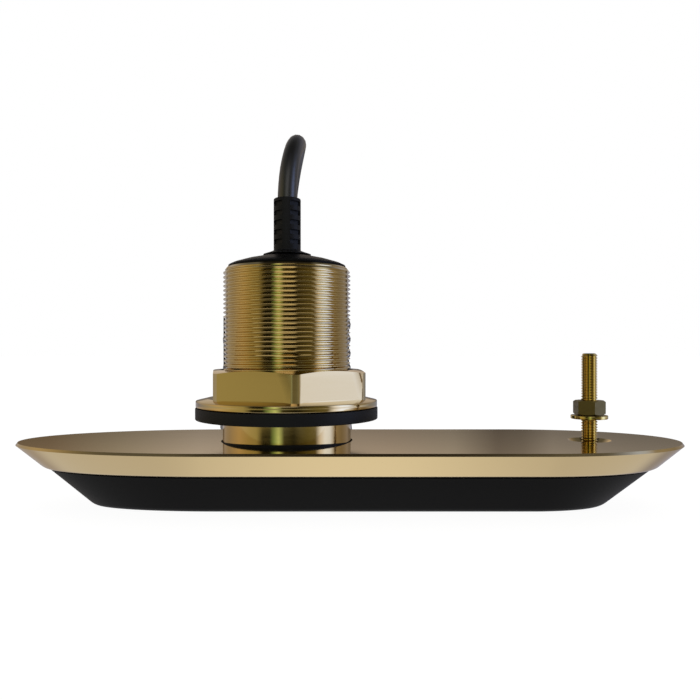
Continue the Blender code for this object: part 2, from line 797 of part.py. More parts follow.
# Stem cap, its seal and the strain relief
CAP_BASE = STEM_TOP + GAP
CAP_TOP = CAP_BASE + CAP_RISE


def stem_cap():
    plug = STEM_BORE - GAP
    plug_low = CAP_BASE - CAP_PLUG_LENGTH
    seat = plug_low + CAP_PLUG_LENGTH / 2
    groove = ORING_SECTION * 2
    inner = plug - ORING_SECTION * 1.6
    hole = CORE_RADIUS + GAP
    edge = (CAP_RADIUS, CAP_BASE + 0.5 * MM)
    shoulder = (CAP_RADIUS - 1.4 * MM, CAP_BASE + 2.1 * MM)
    crown = (CAP_CROWN_RADIUS, CAP_TOP)
    rounded = eased_corner(edge, (CAP_RADIUS - 0.1 * MM, CAP_BASE + 1.4 * MM), shoulder, 2)
    domed = eased_corner(shoulder, (CAP_RADIUS * 0.72, CAP_BASE + 3.9 * MM), crown, 4)[1:]
    profile = [(hole, CAP_TOP), *reversed(domed), *reversed(rounded)]
    profile += [
        (CAP_RADIUS, CAP_BASE),
        (plug, CAP_BASE),
        (plug, seat + groove / 2),
        (inner, seat + groove / 2),
        (inner, seat - groove / 2),
        (plug, seat - groove / 2),
        (plug, plug_low),
        (hole, plug_low),
    ]
    turned("stem_cap", profile, URETHANE, (STEM_X, 0.0))
    section = ORING_SECTION - GAP
    ring_radius = plug - section
    profile = []
    for i in range(6):
        angle = -2 * math.pi * i / 6
        profile.append((ring_radius + section * math.cos(angle), seat + section * math.sin(angle)))
    turned("cap_oring", profile, RUBBER, (STEM_X, 0.0), SMALL_STEPS)


def strain_relief():
    low = CAP_TOP + GAP
    collar_top = low + COLLAR_HEIGHT
    top = collar_top + RELIEF_SLEEVE_HEIGHT
    hole = CABLE_RADIUS + GAP
    edge = 0.9 * MM
    shoulder = eased_corner(
        (RELIEF_SLEEVE_RADIUS + 0.3 * MM, collar_top), (COLLAR_RADIUS, low + COLLAR_HEIGHT * 0.7), (COLLAR_RADIUS, low), 4
    )
    lip = eased_corner(
        (RELIEF_SLEEVE_RADIUS - edge, top), (RELIEF_SLEEVE_RADIUS, top), (RELIEF_SLEEVE_RADIUS, top - edge), 2
    )
    profile = [(hole, top), *lip, (RELIEF_SLEEVE_RADIUS, collar_top + 0.3 * MM), *shoulder, (hole, low)]
    sleeve = turned("strain_relief", profile, RUBBER, (STEM_X, 0.0), SMALL_STEPS)
    first = top - RELIEF_TOP_RIB - RELIEF_WINDOW_HEIGHT
    for direction in (45.0, 135.0):
        bm = bmesh.new()
        for row in range(RELIEF_WINDOWS):
            made = bmesh.ops.create_cube(bm, size=1.0)
            size = (4 * RELIEF_SLEEVE_RADIUS, RELIEF_WINDOW_WIDTH, RELIEF_WINDOW_HEIGHT)
            bmesh.ops.scale(bm, vec=size, verts=made["verts"])
            z = first - row * RELIEF_WINDOW_PITCH + RELIEF_WINDOW_HEIGHT / 2
            bmesh.ops.translate(bm, vec=(0.0, 0.0, z), verts=made["verts"])
        turn = Matrix.Rotation(math.radians(direction), 3, "Z")
        bmesh.ops.rotate(bm, cent=(0.0, 0.0, 0.0), matrix=turn, verts=bm.verts)
        windows = place(f"relief_windows_form_{direction:.0f}", mesh_of("windows", bm), None, CUTTERS)
        windows.location = (STEM_X, 0.0, 0.0)
        cut(sleeve, windows)
    return low, top


# Hull nut with its flange, and the rubber washer under it
def hull_fasteners():
    axis = (STEM_X, 0.0)
    low = TOP + HULL_GAP
    hole = STEM_RADIUS + THREAD_CLEARANCE
    washer_hole = NECK_RADIUS + GAP
    edge = WASHER_EDGE
    upper = eased_corner(
        (WASHER_RADIUS - edge, low + WASHER_THICKNESS),
        (WASHER_RADIUS, low + WASHER_THICKNESS),
        (WASHER_RADIUS, low + WASHER_THICKNESS - edge),
        2,
    )
    lower = eased_corner((WASHER_RADIUS, low + edge), (WASHER_RADIUS, low), (WASHER_RADIUS - edge, low), 2)
    profile = [(washer_hole, low + WASHER_THICKNESS), *upper, *lower, (washer_hole, low)]
    turned("hull_washer", profile, RUBBER, axis)
    base = low + WASHER_THICKNESS + GAP
    flange_top = base + FLANGE_THICKNESS
    top = base + NUT_HEIGHT
    apothem = NUT_ACROSS_FLATS / 2
    outline = hex_outline(NUT_ACROSS_FLATS, NUT_TURN, axis)
    nut = prism("hull_nut", outline, base + FLANGE_THICKNESS / 2, top, BRONZE)
    drop = (NUT_CORNER_RADIUS - apothem) * math.tan(math.radians(30))
    turning = turned(
        "nut_turning_form",
        [
            (0.0, top + OVER),
            (apothem - OVER / math.tan(math.radians(30)), top + OVER),
            (NUT_CORNER_RADIUS, top - drop),
            (NUT_CORNER_RADIUS, base),
            (0.0, base),
        ],
        None,
        axis,
        collection=CUTTERS,
    )
    boolean(nut, turning, "INTERSECT")
    flange = turned(
        "nut_flange_form",
        [
            (0.0, flange_top),
            (FLANGE_RADIUS - FLANGE_EDGE, flange_top),
            (FLANGE_RADIUS, flange_top - FLANGE_EDGE),
            (FLANGE_RADIUS, base + FLANGE_EDGE),
            (FLANGE_RADIUS - FLANGE_EDGE, base),
            (0.0, base),
        ],
        None,
        axis,
        collection=CUTTERS,
    )
    join(nut, flange)
    thread_hole = turned(
        "nut_bore_form",
        [
            (0.0, top + OVER),
            (hole + OVER + TOP_CHAMFER, top + OVER),
            (hole, top - TOP_CHAMFER),
            (hole, base - OVER),
            (0.0, base - OVER),
        ],
        None,
        axis,
        collection=CUTTERS,
    )
    cut(nut, thread_hole)
    smooth(nut)


def stud_fasteners():
    axis = (STUD_X, 0.0)
    tip = TOP + STUD_HEIGHT
    turned(
        "anti_rotation_stud",
        [
            (0.0, tip),
            (STUD_RADIUS - STUD_TIP, tip),
            (STUD_RADIUS, tip - STUD_TIP),
            (STUD_RADIUS, TOP - STUD_DEPTH),
            (0.0, TOP - STUD_DEPTH),
        ],
        BRASS,
        axis,
        SMALL_STEPS,
    )
    low = TOP + HULL_GAP
    hole = STUD_RADIUS + THREAD_CLEARANCE
    washer_top = low + STUD_WASHER_THICKNESS
    turned(
        "stud_washer",
        [(hole, washer_top), (STUD_WASHER_RADIUS, washer_top), (STUD_WASHER_RADIUS, low), (hole, low)],
        BRASS,
        axis,
        SMALL_STEPS,
    )
    base = washer_top + GAP
    top = base + STUD_NUT_HEIGHT
    nut = prism("stud_nut", hex_outline(STUD_NUT_ACROSS_FLATS, STUD_NUT_TURN, axis), base, top, BRASS)
    apothem = STUD_NUT_ACROSS_FLATS / 2
    corner = apothem / math.cos(math.pi / 6)
    slope = math.tan(math.radians(30))
    drop = (corner - apothem) * slope
    reach = OVER * 0.3
    turning = turned(
        "stud_nut_turning_form",
        [
            (0.0, top + reach),
            (apothem - reach / slope, top + reach),
            (corner + OVER, top - drop - OVER * slope),
            (corner + OVER, base + drop + OVER * slope),
            (apothem - reach / slope, base - reach),
            (0.0, base - reach),
        ],
        None,
        axis,
        48,
        CUTTERS,
    )
    boolean(nut, turning, "INTERSECT")
    bore = turned(
        "stud_nut_bore_form",
        [(0.0, top + OVER), (hole, top + OVER), (hole, base - OVER), (0.0, base - OVER)],
        None,
        axis,
        SMALL_STEPS,
        CUTTERS,
    )
    cut(nut, bore)
    smooth(nut)


# Cable: over the stem in a short arch, down behind it, and beside the front fold into the hank
ARCH = [
    (-25.0, 0.0, 112.0),
    (-25.0, 0.0, 123.0),
    (-24.5, 1.9, 133.8),
    (-22.3, 7.4, 143.2),
    (-21.2, 15.8, 150.3),
    (-21.6, 31.5, 154.5),
    (-25.4, 47.3, 150.3),
    (-29.0, 58.8, 138.8),
    (-30.3, 62.9, 125.7),
    (-30.2, 62.8, 108.0),
    (-28.9, 62.2, 88.0),
    (-25.1, 62.0, 73.0),
    (-15.7, 62.0, 60.9),
    (-6.3, 62.0, 49.9),
    (-2.9, 62.0, 35.8),
    (-2.5, 64.9, 22.7),
    (-1.9, 73.1, 12.1),
    (-1.6, 81.2, 7.2),
]


def hank_frame():
    """Takes a point from the hank's own axes, its runs along Y, to the place where it lies."""
    return Matrix.Translation((*HANK_CENTRE, 0.0)) @ Matrix.Rotation(HANK_TURN, 4, "Z")


def racetrack(radius, steps=12):
    """The outline of a loop of the hank: two straight runs and two round folds."""
    points = []
    for end in (1, -1):
        for i in range(steps + 1):
            angle = math.pi * i / steps + (0.0 if end > 0 else math.pi)
            points.append((radius * math.cos(angle), end * HANK_STRAIGHT / 2 + radius * math.sin(angle)))
    return points


def cable_pieces(relief_low):
    cable = [Vector((STEM_X, 0.0, relief_low))] + [Vector(point) * MM for point in ARCH]
    tube("cable", smooth_path(cable, 2.2 * 2 * CABLE_RADIUS), CABLE_RADIUS, JACKET, 3)
    frame = hank_frame()
    inner = HANK_FOLD - TURN_PITCH / 2
    outer = inner + HANK_COLUMNS * TURN_PITCH
    top = HANK_BASE + HANK_ROWS * TURN_PITCH

    hank = prism("cable_hank", racetrack(outer), HANK_BASE, top, JACKET)
    eye = prism("hank_eye_form", racetrack(inner), HANK_BASE - OVER, top + OVER, None, CUTTERS)
    pieces = [hank, eye]
    cut(hank, eye)
    for side, sign in (("left", -1), ("right", 1)):
        x_low, x_high = sorted((sign * (inner - GAP), sign * (outer + GAP)))
        low, high = HANK_BASE - GAP, top + GAP
        half, wall = TIE_WIDTH / 2, TIE_THICKNESS
        tie = box(
            f"cable_tie_{side}", (x_low - wall, -half, low - wall), (x_high + wall, half, high + wall), MOULDING
        )
        opening = box(
            f"tie_opening_form_{side}", (x_low, -half - OVER, low), (x_high, half + OVER, high), None, CUTTERS
        )
        cut(tie, opening)
        pieces += [tie, opening]
    for piece in pieces:
        piece.matrix_world = frame
    return frame, outer, top


def plug(frame, hank_top):
    """The round plug lies on the right-hand runs of the hank, and the cable comes up to it round the front fold."""
    run = HANK_FOLD + TURN_PITCH / 2
    axis_z = hank_top + TIE_THICKNESS + 2 * GAP + PLUG_RADIUS
    to_place = frame @ Matrix.Translation((run, PLUG_FACE, axis_z)) @ Matrix.Rotation(-math.pi / 2, 4, "X")

    def lay(obj):
        obj.matrix_world = to_place

    back = PLUG_LENGTH
    body_profile = [
        (0.0, 0.0),
        (PLUG_RADIUS - 1.0 * MM, 0.0),
        (PLUG_RADIUS, -1.0 * MM),
        (PLUG_RADIUS, -15.0 * MM),
        (PLUG_RADIUS - 1.2 * MM, -16.0 * MM),
        (PLUG_RADIUS - 1.2 * MM, -20.0 * MM),
        (CABLE_RADIUS + 1.4 * MM, -back),
        (0.0, -back),
    ]
    body = turned("connector_body", body_profile, URETHANE, steps=SMALL_STEPS)
    lay(body)
    nose = [
        (0.0, GAP + PLUG_NOSE_LENGTH),
        (PLUG_NOSE_RADIUS, GAP + PLUG_NOSE_LENGTH),
        (PLUG_NOSE_RADIUS, GAP),
        (0.0, GAP),
    ]
    lay(turned("connector_insert", nose, MOULDING, steps=SMALL_STEPS))
    bore = PLUG_RADIUS - COLLAR_NUT_WALL
    lip = 2.0 * MM
    nut = [
        (bore, GAP + COLLAR_NUT_LENGTH),
        (PLUG_RADIUS, GAP + COLLAR_NUT_LENGTH),
        (PLUG_RADIUS, GAP),
        (PLUG_NOSE_RADIUS + GAP, GAP),
        (PLUG_NOSE_RADIUS + GAP, GAP + lip),
        (bore, GAP + lip),
    ]
    lay(turned("connector_collar", nut, URETHANE, steps=SMALL_STEPS))
    rear = to_place @ Vector((0.0, 0.0, -back - GAP))
    route = [rear, frame @ Vector((run, -HANK_STRAIGHT / 2, axis_z))]
    for degrees, share in ((10, 0.08), (24, 0.4), (38, 0.8), (50, 1.0)):
        angle = math.radians(degrees)
        along = -HANK_STRAIGHT / 2 - run * math.sin(angle)
        route.append(frame @ Vector((run * math.cos(angle), along, axis_z - share * TAIL_DROP)))
    tube("cable_tail", smooth_path(route, 2 * CABLE_RADIUS), CABLE_RADIUS, JACKET, 3)


housing()
stem_seal_ring()
cavity_floor = acoustic_window()
carrier_underside = arrays(cavity_floor)
board_seat, carrier_face, wall_up = element_carrier(cavity_floor, carrier_underside)
electronics(board_seat, carrier_face, wall_up, carrier_underside)
stem_cap()
relief_low, relief_top = strain_relief()
hull_fasteners()
stud_fasteners()
hank, hank_outer, hank_top = cable_pieces(relief_low)
plug(hank, hank_top)
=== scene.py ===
# %% [markdown]
# # A bronze through-hull sonar transducer
# The real thing is a long bronze casting shaped like a small boat, with a threaded stem that goes up through a
# ship's hull, a large nut and a rubber washer that clamp it there, and a small threaded stud that keeps it from
# turning. Black urethane closes its underside, and a cable leaves the top of the stem.
# The CAD part already holds every piece in its place. Here the pieces that show get their finer shape, such as
# real threads, and all pieces get their finish.

import json
import math

import bmesh
import bpy
from mathutils import Matrix, Vector

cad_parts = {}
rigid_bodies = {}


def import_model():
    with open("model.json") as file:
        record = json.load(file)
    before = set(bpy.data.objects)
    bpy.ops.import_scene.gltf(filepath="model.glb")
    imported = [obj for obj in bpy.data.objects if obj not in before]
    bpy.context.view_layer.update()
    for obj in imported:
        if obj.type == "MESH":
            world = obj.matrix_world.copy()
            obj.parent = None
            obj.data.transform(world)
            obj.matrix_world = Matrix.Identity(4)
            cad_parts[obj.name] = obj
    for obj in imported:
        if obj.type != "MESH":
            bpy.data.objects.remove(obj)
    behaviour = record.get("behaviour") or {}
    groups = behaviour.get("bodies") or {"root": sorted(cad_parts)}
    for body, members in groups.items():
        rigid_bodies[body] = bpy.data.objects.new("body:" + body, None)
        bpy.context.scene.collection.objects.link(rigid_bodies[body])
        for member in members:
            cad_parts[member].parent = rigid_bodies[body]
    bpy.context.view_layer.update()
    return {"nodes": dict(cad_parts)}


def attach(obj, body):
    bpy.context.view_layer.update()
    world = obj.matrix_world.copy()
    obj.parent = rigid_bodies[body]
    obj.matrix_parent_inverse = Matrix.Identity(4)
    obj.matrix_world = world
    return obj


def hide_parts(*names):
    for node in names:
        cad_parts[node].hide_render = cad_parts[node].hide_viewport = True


for leftover in list(bpy.data.objects):
    bpy.data.objects.remove(leftover)
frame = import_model()
MM = 0.001

# %% [markdown]
# ## Camera
# The photograph was taken from straight in front, level, a little above the plate, with a short distance that
# makes the plate's near edge drop away at both ends. A pinhole that stands 291 mm in front of the stem and 62 mm
# above the table gives the same edges.

# %% Camera
EYE = Vector((0.3, -291.2, 61.67)) * MM
LENS = 37.44

camera_data = bpy.data.cameras.new("photo_camera")
camera_data.lens = LENS
camera_data.sensor_width = 36.0
camera_data.clip_start = 0.01
camera = bpy.data.objects.new("photo_camera", camera_data)
camera.location = EYE
camera.rotation_euler = (math.pi / 2, 0.0, 0.0)
bpy.context.scene.collection.objects.link(camera)
bpy.context.scene.camera = camera
print("camera at, mm:", tuple(round(value / MM, 1) for value in EYE))

# %% [markdown]
# ## Shader maths as plain expressions
# A finish is a small graph of nodes. To keep it readable, a socket is wrapped in a class whose operators add the
# Math nodes, so that a share of a full turn is written as turn / (2 * math.pi) + 0.5. One method adds any other node:
# its settings come first, then the values or links of its sockets.


# %% Shader helpers
class Wire:
    """A shader socket. Arithmetic on it adds Math nodes."""

    def __init__(self, graph, socket):
        self.graph, self.socket = graph, socket

    def math(self, operation, *items):
        return self.graph.node("Math", {"operation": operation}, dict(enumerate(items)))

    def __add__(self, other):
        return self.math("ADD", self, other)

    def __mul__(self, other):
        return self.math("MULTIPLY", self, other)

    def __truediv__(self, other):
        return self.math("DIVIDE", self, other)

    def __neg__(self):
        return self.math("SUBTRACT", 0.0, self)


class Graph:
    """The nodes of a material or of the world."""

    def __init__(self, owner):
        owner.use_nodes = True
        self.tree = owner.node_tree

    def node(self, kind, settings=None, inputs=None, output=0):
        made = self.tree.nodes.new("ShaderNode" + kind)
        for key, value in (settings or {}).items():
            if key == "stops":
                self.set_stops(made.color_ramp, value)
            else:
                setattr(made, key, value)
        for key, value in (inputs or {}).items():
            self.put(made.inputs[key], value)
        return Wire(self, made.outputs[output]) if made.outputs else None

    def put(self, socket, value):
        if isinstance(value, Wire):
            self.tree.links.new(value.socket, socket)
        else:
            socket.default_value = value

    def set_stops(self, ramp, stops):
        while len(ramp.elements) > 1:
            ramp.elements.remove(ramp.elements[-1])
        for index, (position, colour) in enumerate(stops):
            stop = ramp.elements[0] if index == 0 else ramp.elements.new(position)
            stop.position = position
            stop.color = (*colour, 1.0)

    def ramp(self, value, low, high, low_value=0.0, high_value=1.0):
        """A smooth step from low_value to high_value while value goes from low to high."""
        sizes = {"Value": value, "From Min": low, "From Max": high, "To Min": low_value, "To Max": high_value}
        return self.node("MapRange", {"interpolation_type": "SMOOTHSTEP"}, sizes)

    def blend(self, share, first, second):
        """A colour that goes from first to second as share goes from 0 to 1."""
        return self.node("Mix", {"data_type": "RGBA"}, {0: share, 6: first, 7: second}, 2)


class Finish(Graph):
    """A material with one Principled shader. The steady values are set on it, and the rest is linked."""

    def __init__(self, name, colour, roughness, metallic=0.0, specular=0.5):
        self.material = bpy.data.materials.new(name)
        super().__init__(self.material)
        self.shader = self.tree.nodes["Principled BSDF"]
        self.feed("Base Color", (*colour, 1.0))
        self.feed("Roughness", roughness)
        self.feed("Metallic", metallic)
        self.feed("Specular IOR Level", specular)
        self.material.diffuse_color = (*colour, 1.0)

    def feed(self, socket, value):
        self.put(self.shader.inputs[socket], value)

    def noise(self, scale, stretch=(1.0, 1.0, 1.0), detail=2.0):
        """Noise on Object coordinates, with a scale in patches per metre and a stretch along each axis."""
        place = self.node("TexCoord", output=3)
        spread = self.node("Mapping", inputs={"Vector": place, "Scale": stretch})
        return self.node("TexNoise", inputs={"Vector": spread, "Scale": scale, "Detail": detail})

    def bump(self, height, distance):
        inputs = {"Height": height, "Distance": distance, "Strength": 1.0}
        self.feed("Normal", self.node("Bump", inputs=inputs))


# %% [markdown]
# ## Finishes
# The casting, the nut and the stem are one warm bronze. What tells them apart is how they were worked: the top of
# the plate is brushed and blurs what it mirrors, the sloping rim was milled along its length, and the neck, the
# nut and the flange were turned to a smoother face. The stud and its washer are a yellower brass, and the stud's
# nut is a much darker brass with little shine. Fine noise, stretched along the direction of the tool, varies how
# smooth each one is, and gives the wider faces a grain. The threads have none, because it would hide their narrow
# flanks.

# %% Bronze and brass
BRONZE_COLOUR = (0.66, 0.50, 0.25)
BRASS_COLOUR = (0.66, 0.50, 0.17)


def machined(name, colour, roughness, stretch, grain=900.0, depth=0.004):
    """Bronze or brass with tool marks: the noise is long where stretch is small."""
    finish = Finish(name, colour, roughness, metallic=1.0)
    marks = finish.noise(grain, stretch, 3.0)
    finish.feed("Roughness", finish.ramp(marks, 0.3, 0.7, roughness * 0.85, roughness * 1.15))
    if depth:
        finish.bump(marks, depth * MM)
    return finish


cast_bronze = machined("cast_bronze", BRONZE_COLOUR, 0.09, (0.04, 1.0, 1.0), depth=0.0006)
turned_bronze = machined("turned_bronze", BRONZE_COLOUR, 0.08, (0.05, 0.05, 1.0), depth=0.0004)
# Painted highlight: the threads' copy of the bronze is lighter and yellower than BRONZE_COLOUR, for the light that
# their flanks catch.
thread_bronze_painted_highlight = machined("thread_bronze_painted_highlight", (0.70, 0.58, 0.34), 0.07, (0.3, 0.3, 1.0), depth=0.0)
stud_brass = machined("stud_brass", BRASS_COLOUR, 0.12, (0.3, 0.3, 1.0), depth=0.0)
dull_brass = machined("dull_brass", (0.125, 0.093, 0.023), 0.34, (0.3, 0.3, 1.0), depth=0.002)
dull_brass.feed("Metallic", 0.4)
dull_brass.feed("Specular IOR Level", 0.25)
print("metal finishes:", cast_bronze.material.name, turned_bronze.material.name, thread_bronze_painted_highlight.material.name)

# %% [markdown]
# The rest is black: urethane under the plate and on the stem's cap, rubber for the washer, the seal and the
# strain relief, and a satin jacket on the cable. A black that is a true zero looks like a hole, so each keeps
# a little colour, and its roughness decides how wide its highlights are. The pieces inside are plain.

# %% Rubber, plastics and what is inside
urethane = Finish("black_urethane", (0.0042, 0.0040, 0.0038), 0.40, specular=0.06)
urethane.bump(urethane.noise(900.0), 0.006 * MM)
rubber = Finish("black_rubber", (0.0075, 0.0075, 0.0082), 0.5, specular=0.16)
rubber.bump(rubber.noise(1500.0), 0.008 * MM)
jacket = Finish("cable_jacket", (0.008, 0.008, 0.0085), 0.36, specular=0.9)
jacket.bump(jacket.noise(1200.0), 0.004 * MM)
moulding = Finish("grey_moulding", (0.22, 0.23, 0.24), 0.55)
moulding.bump(moulding.noise(1400.0), 0.006 * MM)
tie_plastic = Finish("black_tie", (0.015, 0.015, 0.016), 0.45)
tie_plastic.bump(tie_plastic.noise(1400.0), 0.004 * MM)
INSIDE = {
    "steel": machined("steel", (0.60, 0.60, 0.58), 0.3, (1.0, 1.0, 1.0)),
    "copper": machined("copper", (0.72, 0.38, 0.22), 0.35, (1.0, 1.0, 0.1)),
    "ceramic": Finish("ceramic", (0.62, 0.58, 0.50), 0.6),
    "cork": Finish("backing_cork", (0.35, 0.22, 0.12), 0.85),
    "board": Finish("circuit_board", (0.03, 0.16, 0.07), 0.45),
    "ferrite": Finish("ferrite", (0.06, 0.06, 0.065), 0.7),
    "moulding": moulding,
    "rubber": rubber,
    "urethane": urethane,
    "jacket": jacket,
    "tie": tie_plastic,
    "bronze": cast_bronze,
    "brass": stud_brass,
}
for name in ("cork", "ceramic", "ferrite", "board"):
    grains = INSIDE[name].noise(1800.0)
    INSIDE[name].bump(grains, 0.03 * MM)
print("finishes in all:", len(bpy.data.materials))

# %% [markdown]
# ## Turned pieces
# Most of this object came off a lathe, so most of its pieces are a profile that is spun round the stem's axis.
# A profile is a list of (radius, height) in millimetres. A third number rounds that corner, because no real edge
# is perfectly sharp and only a rounded one catches the light. bmesh's spin makes the surface, and merging its
# doubles closes the seam.


# %% Helpers for turned pieces
def rounded(profile, steps=4):
    """The profile with each corner that has a radius replaced by an arc of that radius."""
    done = []
    count = len(profile)
    for index, (radius, height, *rounding) in enumerate(profile):
        corner = Vector((radius, height))
        if not rounding:
            done.append(corner)
            continue
        back = (Vector(profile[index - 1][:2]) - corner).normalized()
        ahead = (Vector(profile[(index + 1) % count][:2]) - corner).normalized()
        half = back.angle(ahead) / 2
        centre = corner + (back + ahead).normalized() * rounding[0] / math.sin(half)
        reach = rounding[0] / math.tan(half)
        first, last = (corner + way * reach - centre for way in (back, ahead))
        turned = [first.slerp(last, step / steps).normalized() for step in range(steps + 1)]
        done += [centre + way * rounding[0] for way in turned]
    return [(point.x, point.y) for point in done]


def spun(profile, centre, steps=128):
    """A bmesh: the profile turned about the vertical through centre. It is a ring unless it starts on the axis."""
    bm = bmesh.new()
    points = [bm.verts.new((radius * MM, 0.0, height * MM)) for radius, height in rounded(profile)]
    ahead = points[1:] + (points[:1] if profile[0][0] > 0 else [])
    line = [bm.edges.new(pair) for pair in zip(points, ahead)]
    turn = {"cent": (0, 0, 0), "axis": (0, 0, 1), "angle": 2 * math.pi, "steps": steps, "use_merge": True}
    bmesh.ops.spin(bm, geom=points + line, **turn)
    bmesh.ops.remove_doubles(bm, verts=bm.verts, dist=0.001 * MM)
    bmesh.ops.recalc_face_normals(bm, faces=bm.faces)
    bmesh.ops.translate(bm, vec=(centre[0] * MM, centre[1] * MM, 0.0), verts=bm.verts)
    return bm


def carved(base, tool, operation="DIFFERENCE"):
    """A bmesh: base with tool cut out of it, joined to it, or kept only where both are."""
    helpers = []
    for bm in (base, tool):
        mesh = bpy.data.meshes.new("carving")
        bm.to_mesh(mesh)
        bm.free()
        helpers.append(bpy.data.objects.new("carving", mesh))
        bpy.context.scene.collection.objects.link(helpers[-1])
    boolean = helpers[0].modifiers.new("Carve", "BOOLEAN")
    boolean.operation = operation
    boolean.solver = "EXACT"
    boolean.object = helpers[1]
    graph = bpy.context.evaluated_depsgraph_get()
    made = bpy.data.meshes.new_from_object(helpers[0].evaluated_get(graph))
    result = bmesh.new()
    result.from_mesh(made)
    for helper in helpers:
        bpy.data.objects.remove(helper)
    return result


SHARP = 32.0


def finished(name, bm, finish, replaces=()):
    """Makes the piece from its bmesh: smooth faces, sharp edges, its finish, and its place on the object."""
    mesh = bpy.data.meshes.new(name)
    bm.to_mesh(mesh)
    bm.free()
    mesh.polygons.foreach_set("use_smooth", [True] * len(mesh.polygons))
    mesh.set_sharp_from_angle(angle=math.radians(SHARP))
    obj = bpy.data.objects.new(name, mesh)
    bpy.context.scene.collection.objects.link(obj)
    mesh.materials.append(finish.material)
    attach(obj, "root")
    if replaces:
        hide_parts(*replaces)
    print(f"{name}: {len(mesh.polygons)} faces")
    return obj


# %% [markdown]
# ## The cast body
# The plate is two half ellipses, a long one at the bow and a shorter one at the stern, joined by straight sides.
# Its rim slopes inwards to a lip that holds the urethane. It could be a subdivision cage, but the outline is exact
# geometry, so one loop of points is placed on the outline and extruded from level to level: from the bore inside
# the stem, down through the hollow, round the lip and up the rim, and over the top to the neck.

# %% Outline of the plate
HALF_WIDTH = 39.8
BOW, STERN, STRAIGHT = 81.0, 61.9, 120.2
HALF_LENGTH = (BOW + STRAIGHT + STERN) / 2
BOW_X, STERN_X = BOW - HALF_LENGTH, HALF_LENGTH - STERN
STEM_X = -24.8
LOOP = 256


def boat(inset_bow, inset_side, inset_stern, height):
    """Gives each angle its point on the plate's outline, drawn in by the insets, at that height."""

    def point(angle):
        bow = math.cos(angle) < 0
        reach = BOW - inset_bow if bow else STERN - inset_stern
        x = (BOW_X if bow else STERN_X) + reach * math.cos(angle)
        return Vector((x, (HALF_WIDTH - inset_side) * math.sin(angle), height)) * MM

    return point


def around_stem(radius, height):
    """Gives each angle its point on a circle round the stem."""
    return lambda angle: Vector((STEM_X + radius * math.cos(angle), radius * math.sin(angle), height)) * MM


def lofted(levels, closed=False):
    """A bmesh: one loop, extruded from level to level. A closed one ends where it began, any other gets caps."""
    bm = bmesh.new()
    turn = bm.verts.layers.float.new("turn")
    made = bmesh.ops.create_circle(bm, segments=LOOP, radius=1.0)
    for index, vert in enumerate(made["verts"]):
        vert[turn] = 2 * math.pi * (index + 0.5) / LOOP
        vert.co = levels[0](vert[turn])
    loop = list(bm.edges)
    first = loop
    for level in levels[1:]:
        pushed = bmesh.ops.extrude_edge_only(bm, edges=loop)["geom"]
        for vert in pushed:
            if isinstance(vert, bmesh.types.BMVert):
                vert.co = level(vert[turn])
        loop = [edge for edge in pushed if isinstance(edge, bmesh.types.BMEdge)]
        loop = [edge for edge in loop if len(edge.link_faces) == 1]
    if closed:
        bmesh.ops.remove_doubles(bm, verts=bm.verts, dist=0.001 * MM)
    else:
        bmesh.ops.holes_fill(bm, edges=first + loop, sides=0)
    bmesh.ops.recalc_face_normals(bm, faces=bm.faces)
    return bm


print("plate, mm:", 2 * HALF_LENGTH, "by", 2 * HALF_WIDTH)

# %% [markdown]
# The rim's lower corner is rounded, so it takes a few levels of its own along an arc. The stud's hole and its
# countersink are cut into the finished body with one turned tool. The seal's groove is one more step in the list
# of levels, between the plate's top and the neck.

# %% Cast body
TOP = 25.7
CHAMFER, CHAMFER_DROP = 0.72, 0.95
RIM_DEPTH = 9.97
RIM_INSET = Vector((10.3, 11.2, 9.7))
RIM_ROUND = 1.1
LIP_WIDTH, LIP_DROP = 2.5, 0.6
LIP_Z = TOP - RIM_DEPTH - LIP_DROP
CEILING = TOP - 5.0
SHOULDER = 3.2
BORE, NECK = 19.5, 25.4
GROOVE, GROOVE_DEPTH = 26.05, 1.8
THREAD_START = 41.0
STUD_X = 96.0
SINK, SINK_DEPTH, STUD_HOLE, HOLE_END = 8.5, 1.6, 3.5, CEILING + 0.6
WINDOW_PLAY = 0.3


def arc_levels(before, corner, after, steps):
    """Levels along a smooth curve from before to after, pulled towards the corner. Each is (insets, height)."""
    levels = []
    for step in range(steps + 1):
        share = step / steps
        near, far = before.lerp(corner, share), corner.lerp(after, share)
        levels.append(boat(*near.lerp(far, share)))
    return levels


rim_top = Vector((0.0, 0.0, 0.0, TOP - CHAMFER_DROP))
rim_low = Vector((*RIM_INSET, TOP - RIM_DEPTH))
lip = Vector((*(value + LIP_WIDTH for value in RIM_INSET), LIP_Z))
pocket = [value + LIP_WIDTH + SHOULDER - WINDOW_PLAY for value in RIM_INSET]
start = rim_low.lerp(lip, RIM_ROUND / LIP_WIDTH)
end = rim_low.lerp(rim_top, RIM_ROUND / RIM_DEPTH)
levels = [around_stem(BORE, THREAD_START), around_stem(BORE, CEILING)]
levels += [boat(*pocket, CEILING), boat(*pocket, LIP_Z), boat(*lip)]
levels += arc_levels(start, rim_low, end, 6)
levels += [boat(*rim_top), boat(CHAMFER, CHAMFER, CHAMFER, TOP)]
levels += [around_stem(GROOVE, TOP), around_stem(GROOVE, TOP - GROOVE_DEPTH), around_stem(NECK, TOP - GROOVE_DEPTH)]
levels += [around_stem(NECK, THREAD_START), around_stem(BORE, THREAD_START)]
stud_tool = [(0.0, TOP + 1), (SINK + 1, TOP + 1), (SINK - SINK_DEPTH, TOP - SINK_DEPTH)]
stud_tool += [(STUD_HOLE, TOP - SINK_DEPTH), (STUD_HOLE, HOLE_END), (0.0, HOLE_END)]
body = carved(lofted(levels, closed=True), spun(stud_tool, (STUD_X, 0.0), 64))
finished("cast_body", body, cast_bronze, ["housing"])

# %% [markdown]
# ## Threads
# A screw thread is a zigzag that climbs by one pitch in each turn. Spinning a zigzag with a small rise at every
# step makes it, because its end then meets its own start one pitch higher and merges with it. Two cuts make its
# ends level, and keeping only what lies inside a turned blank gives it the chamfer that a lathe leaves.


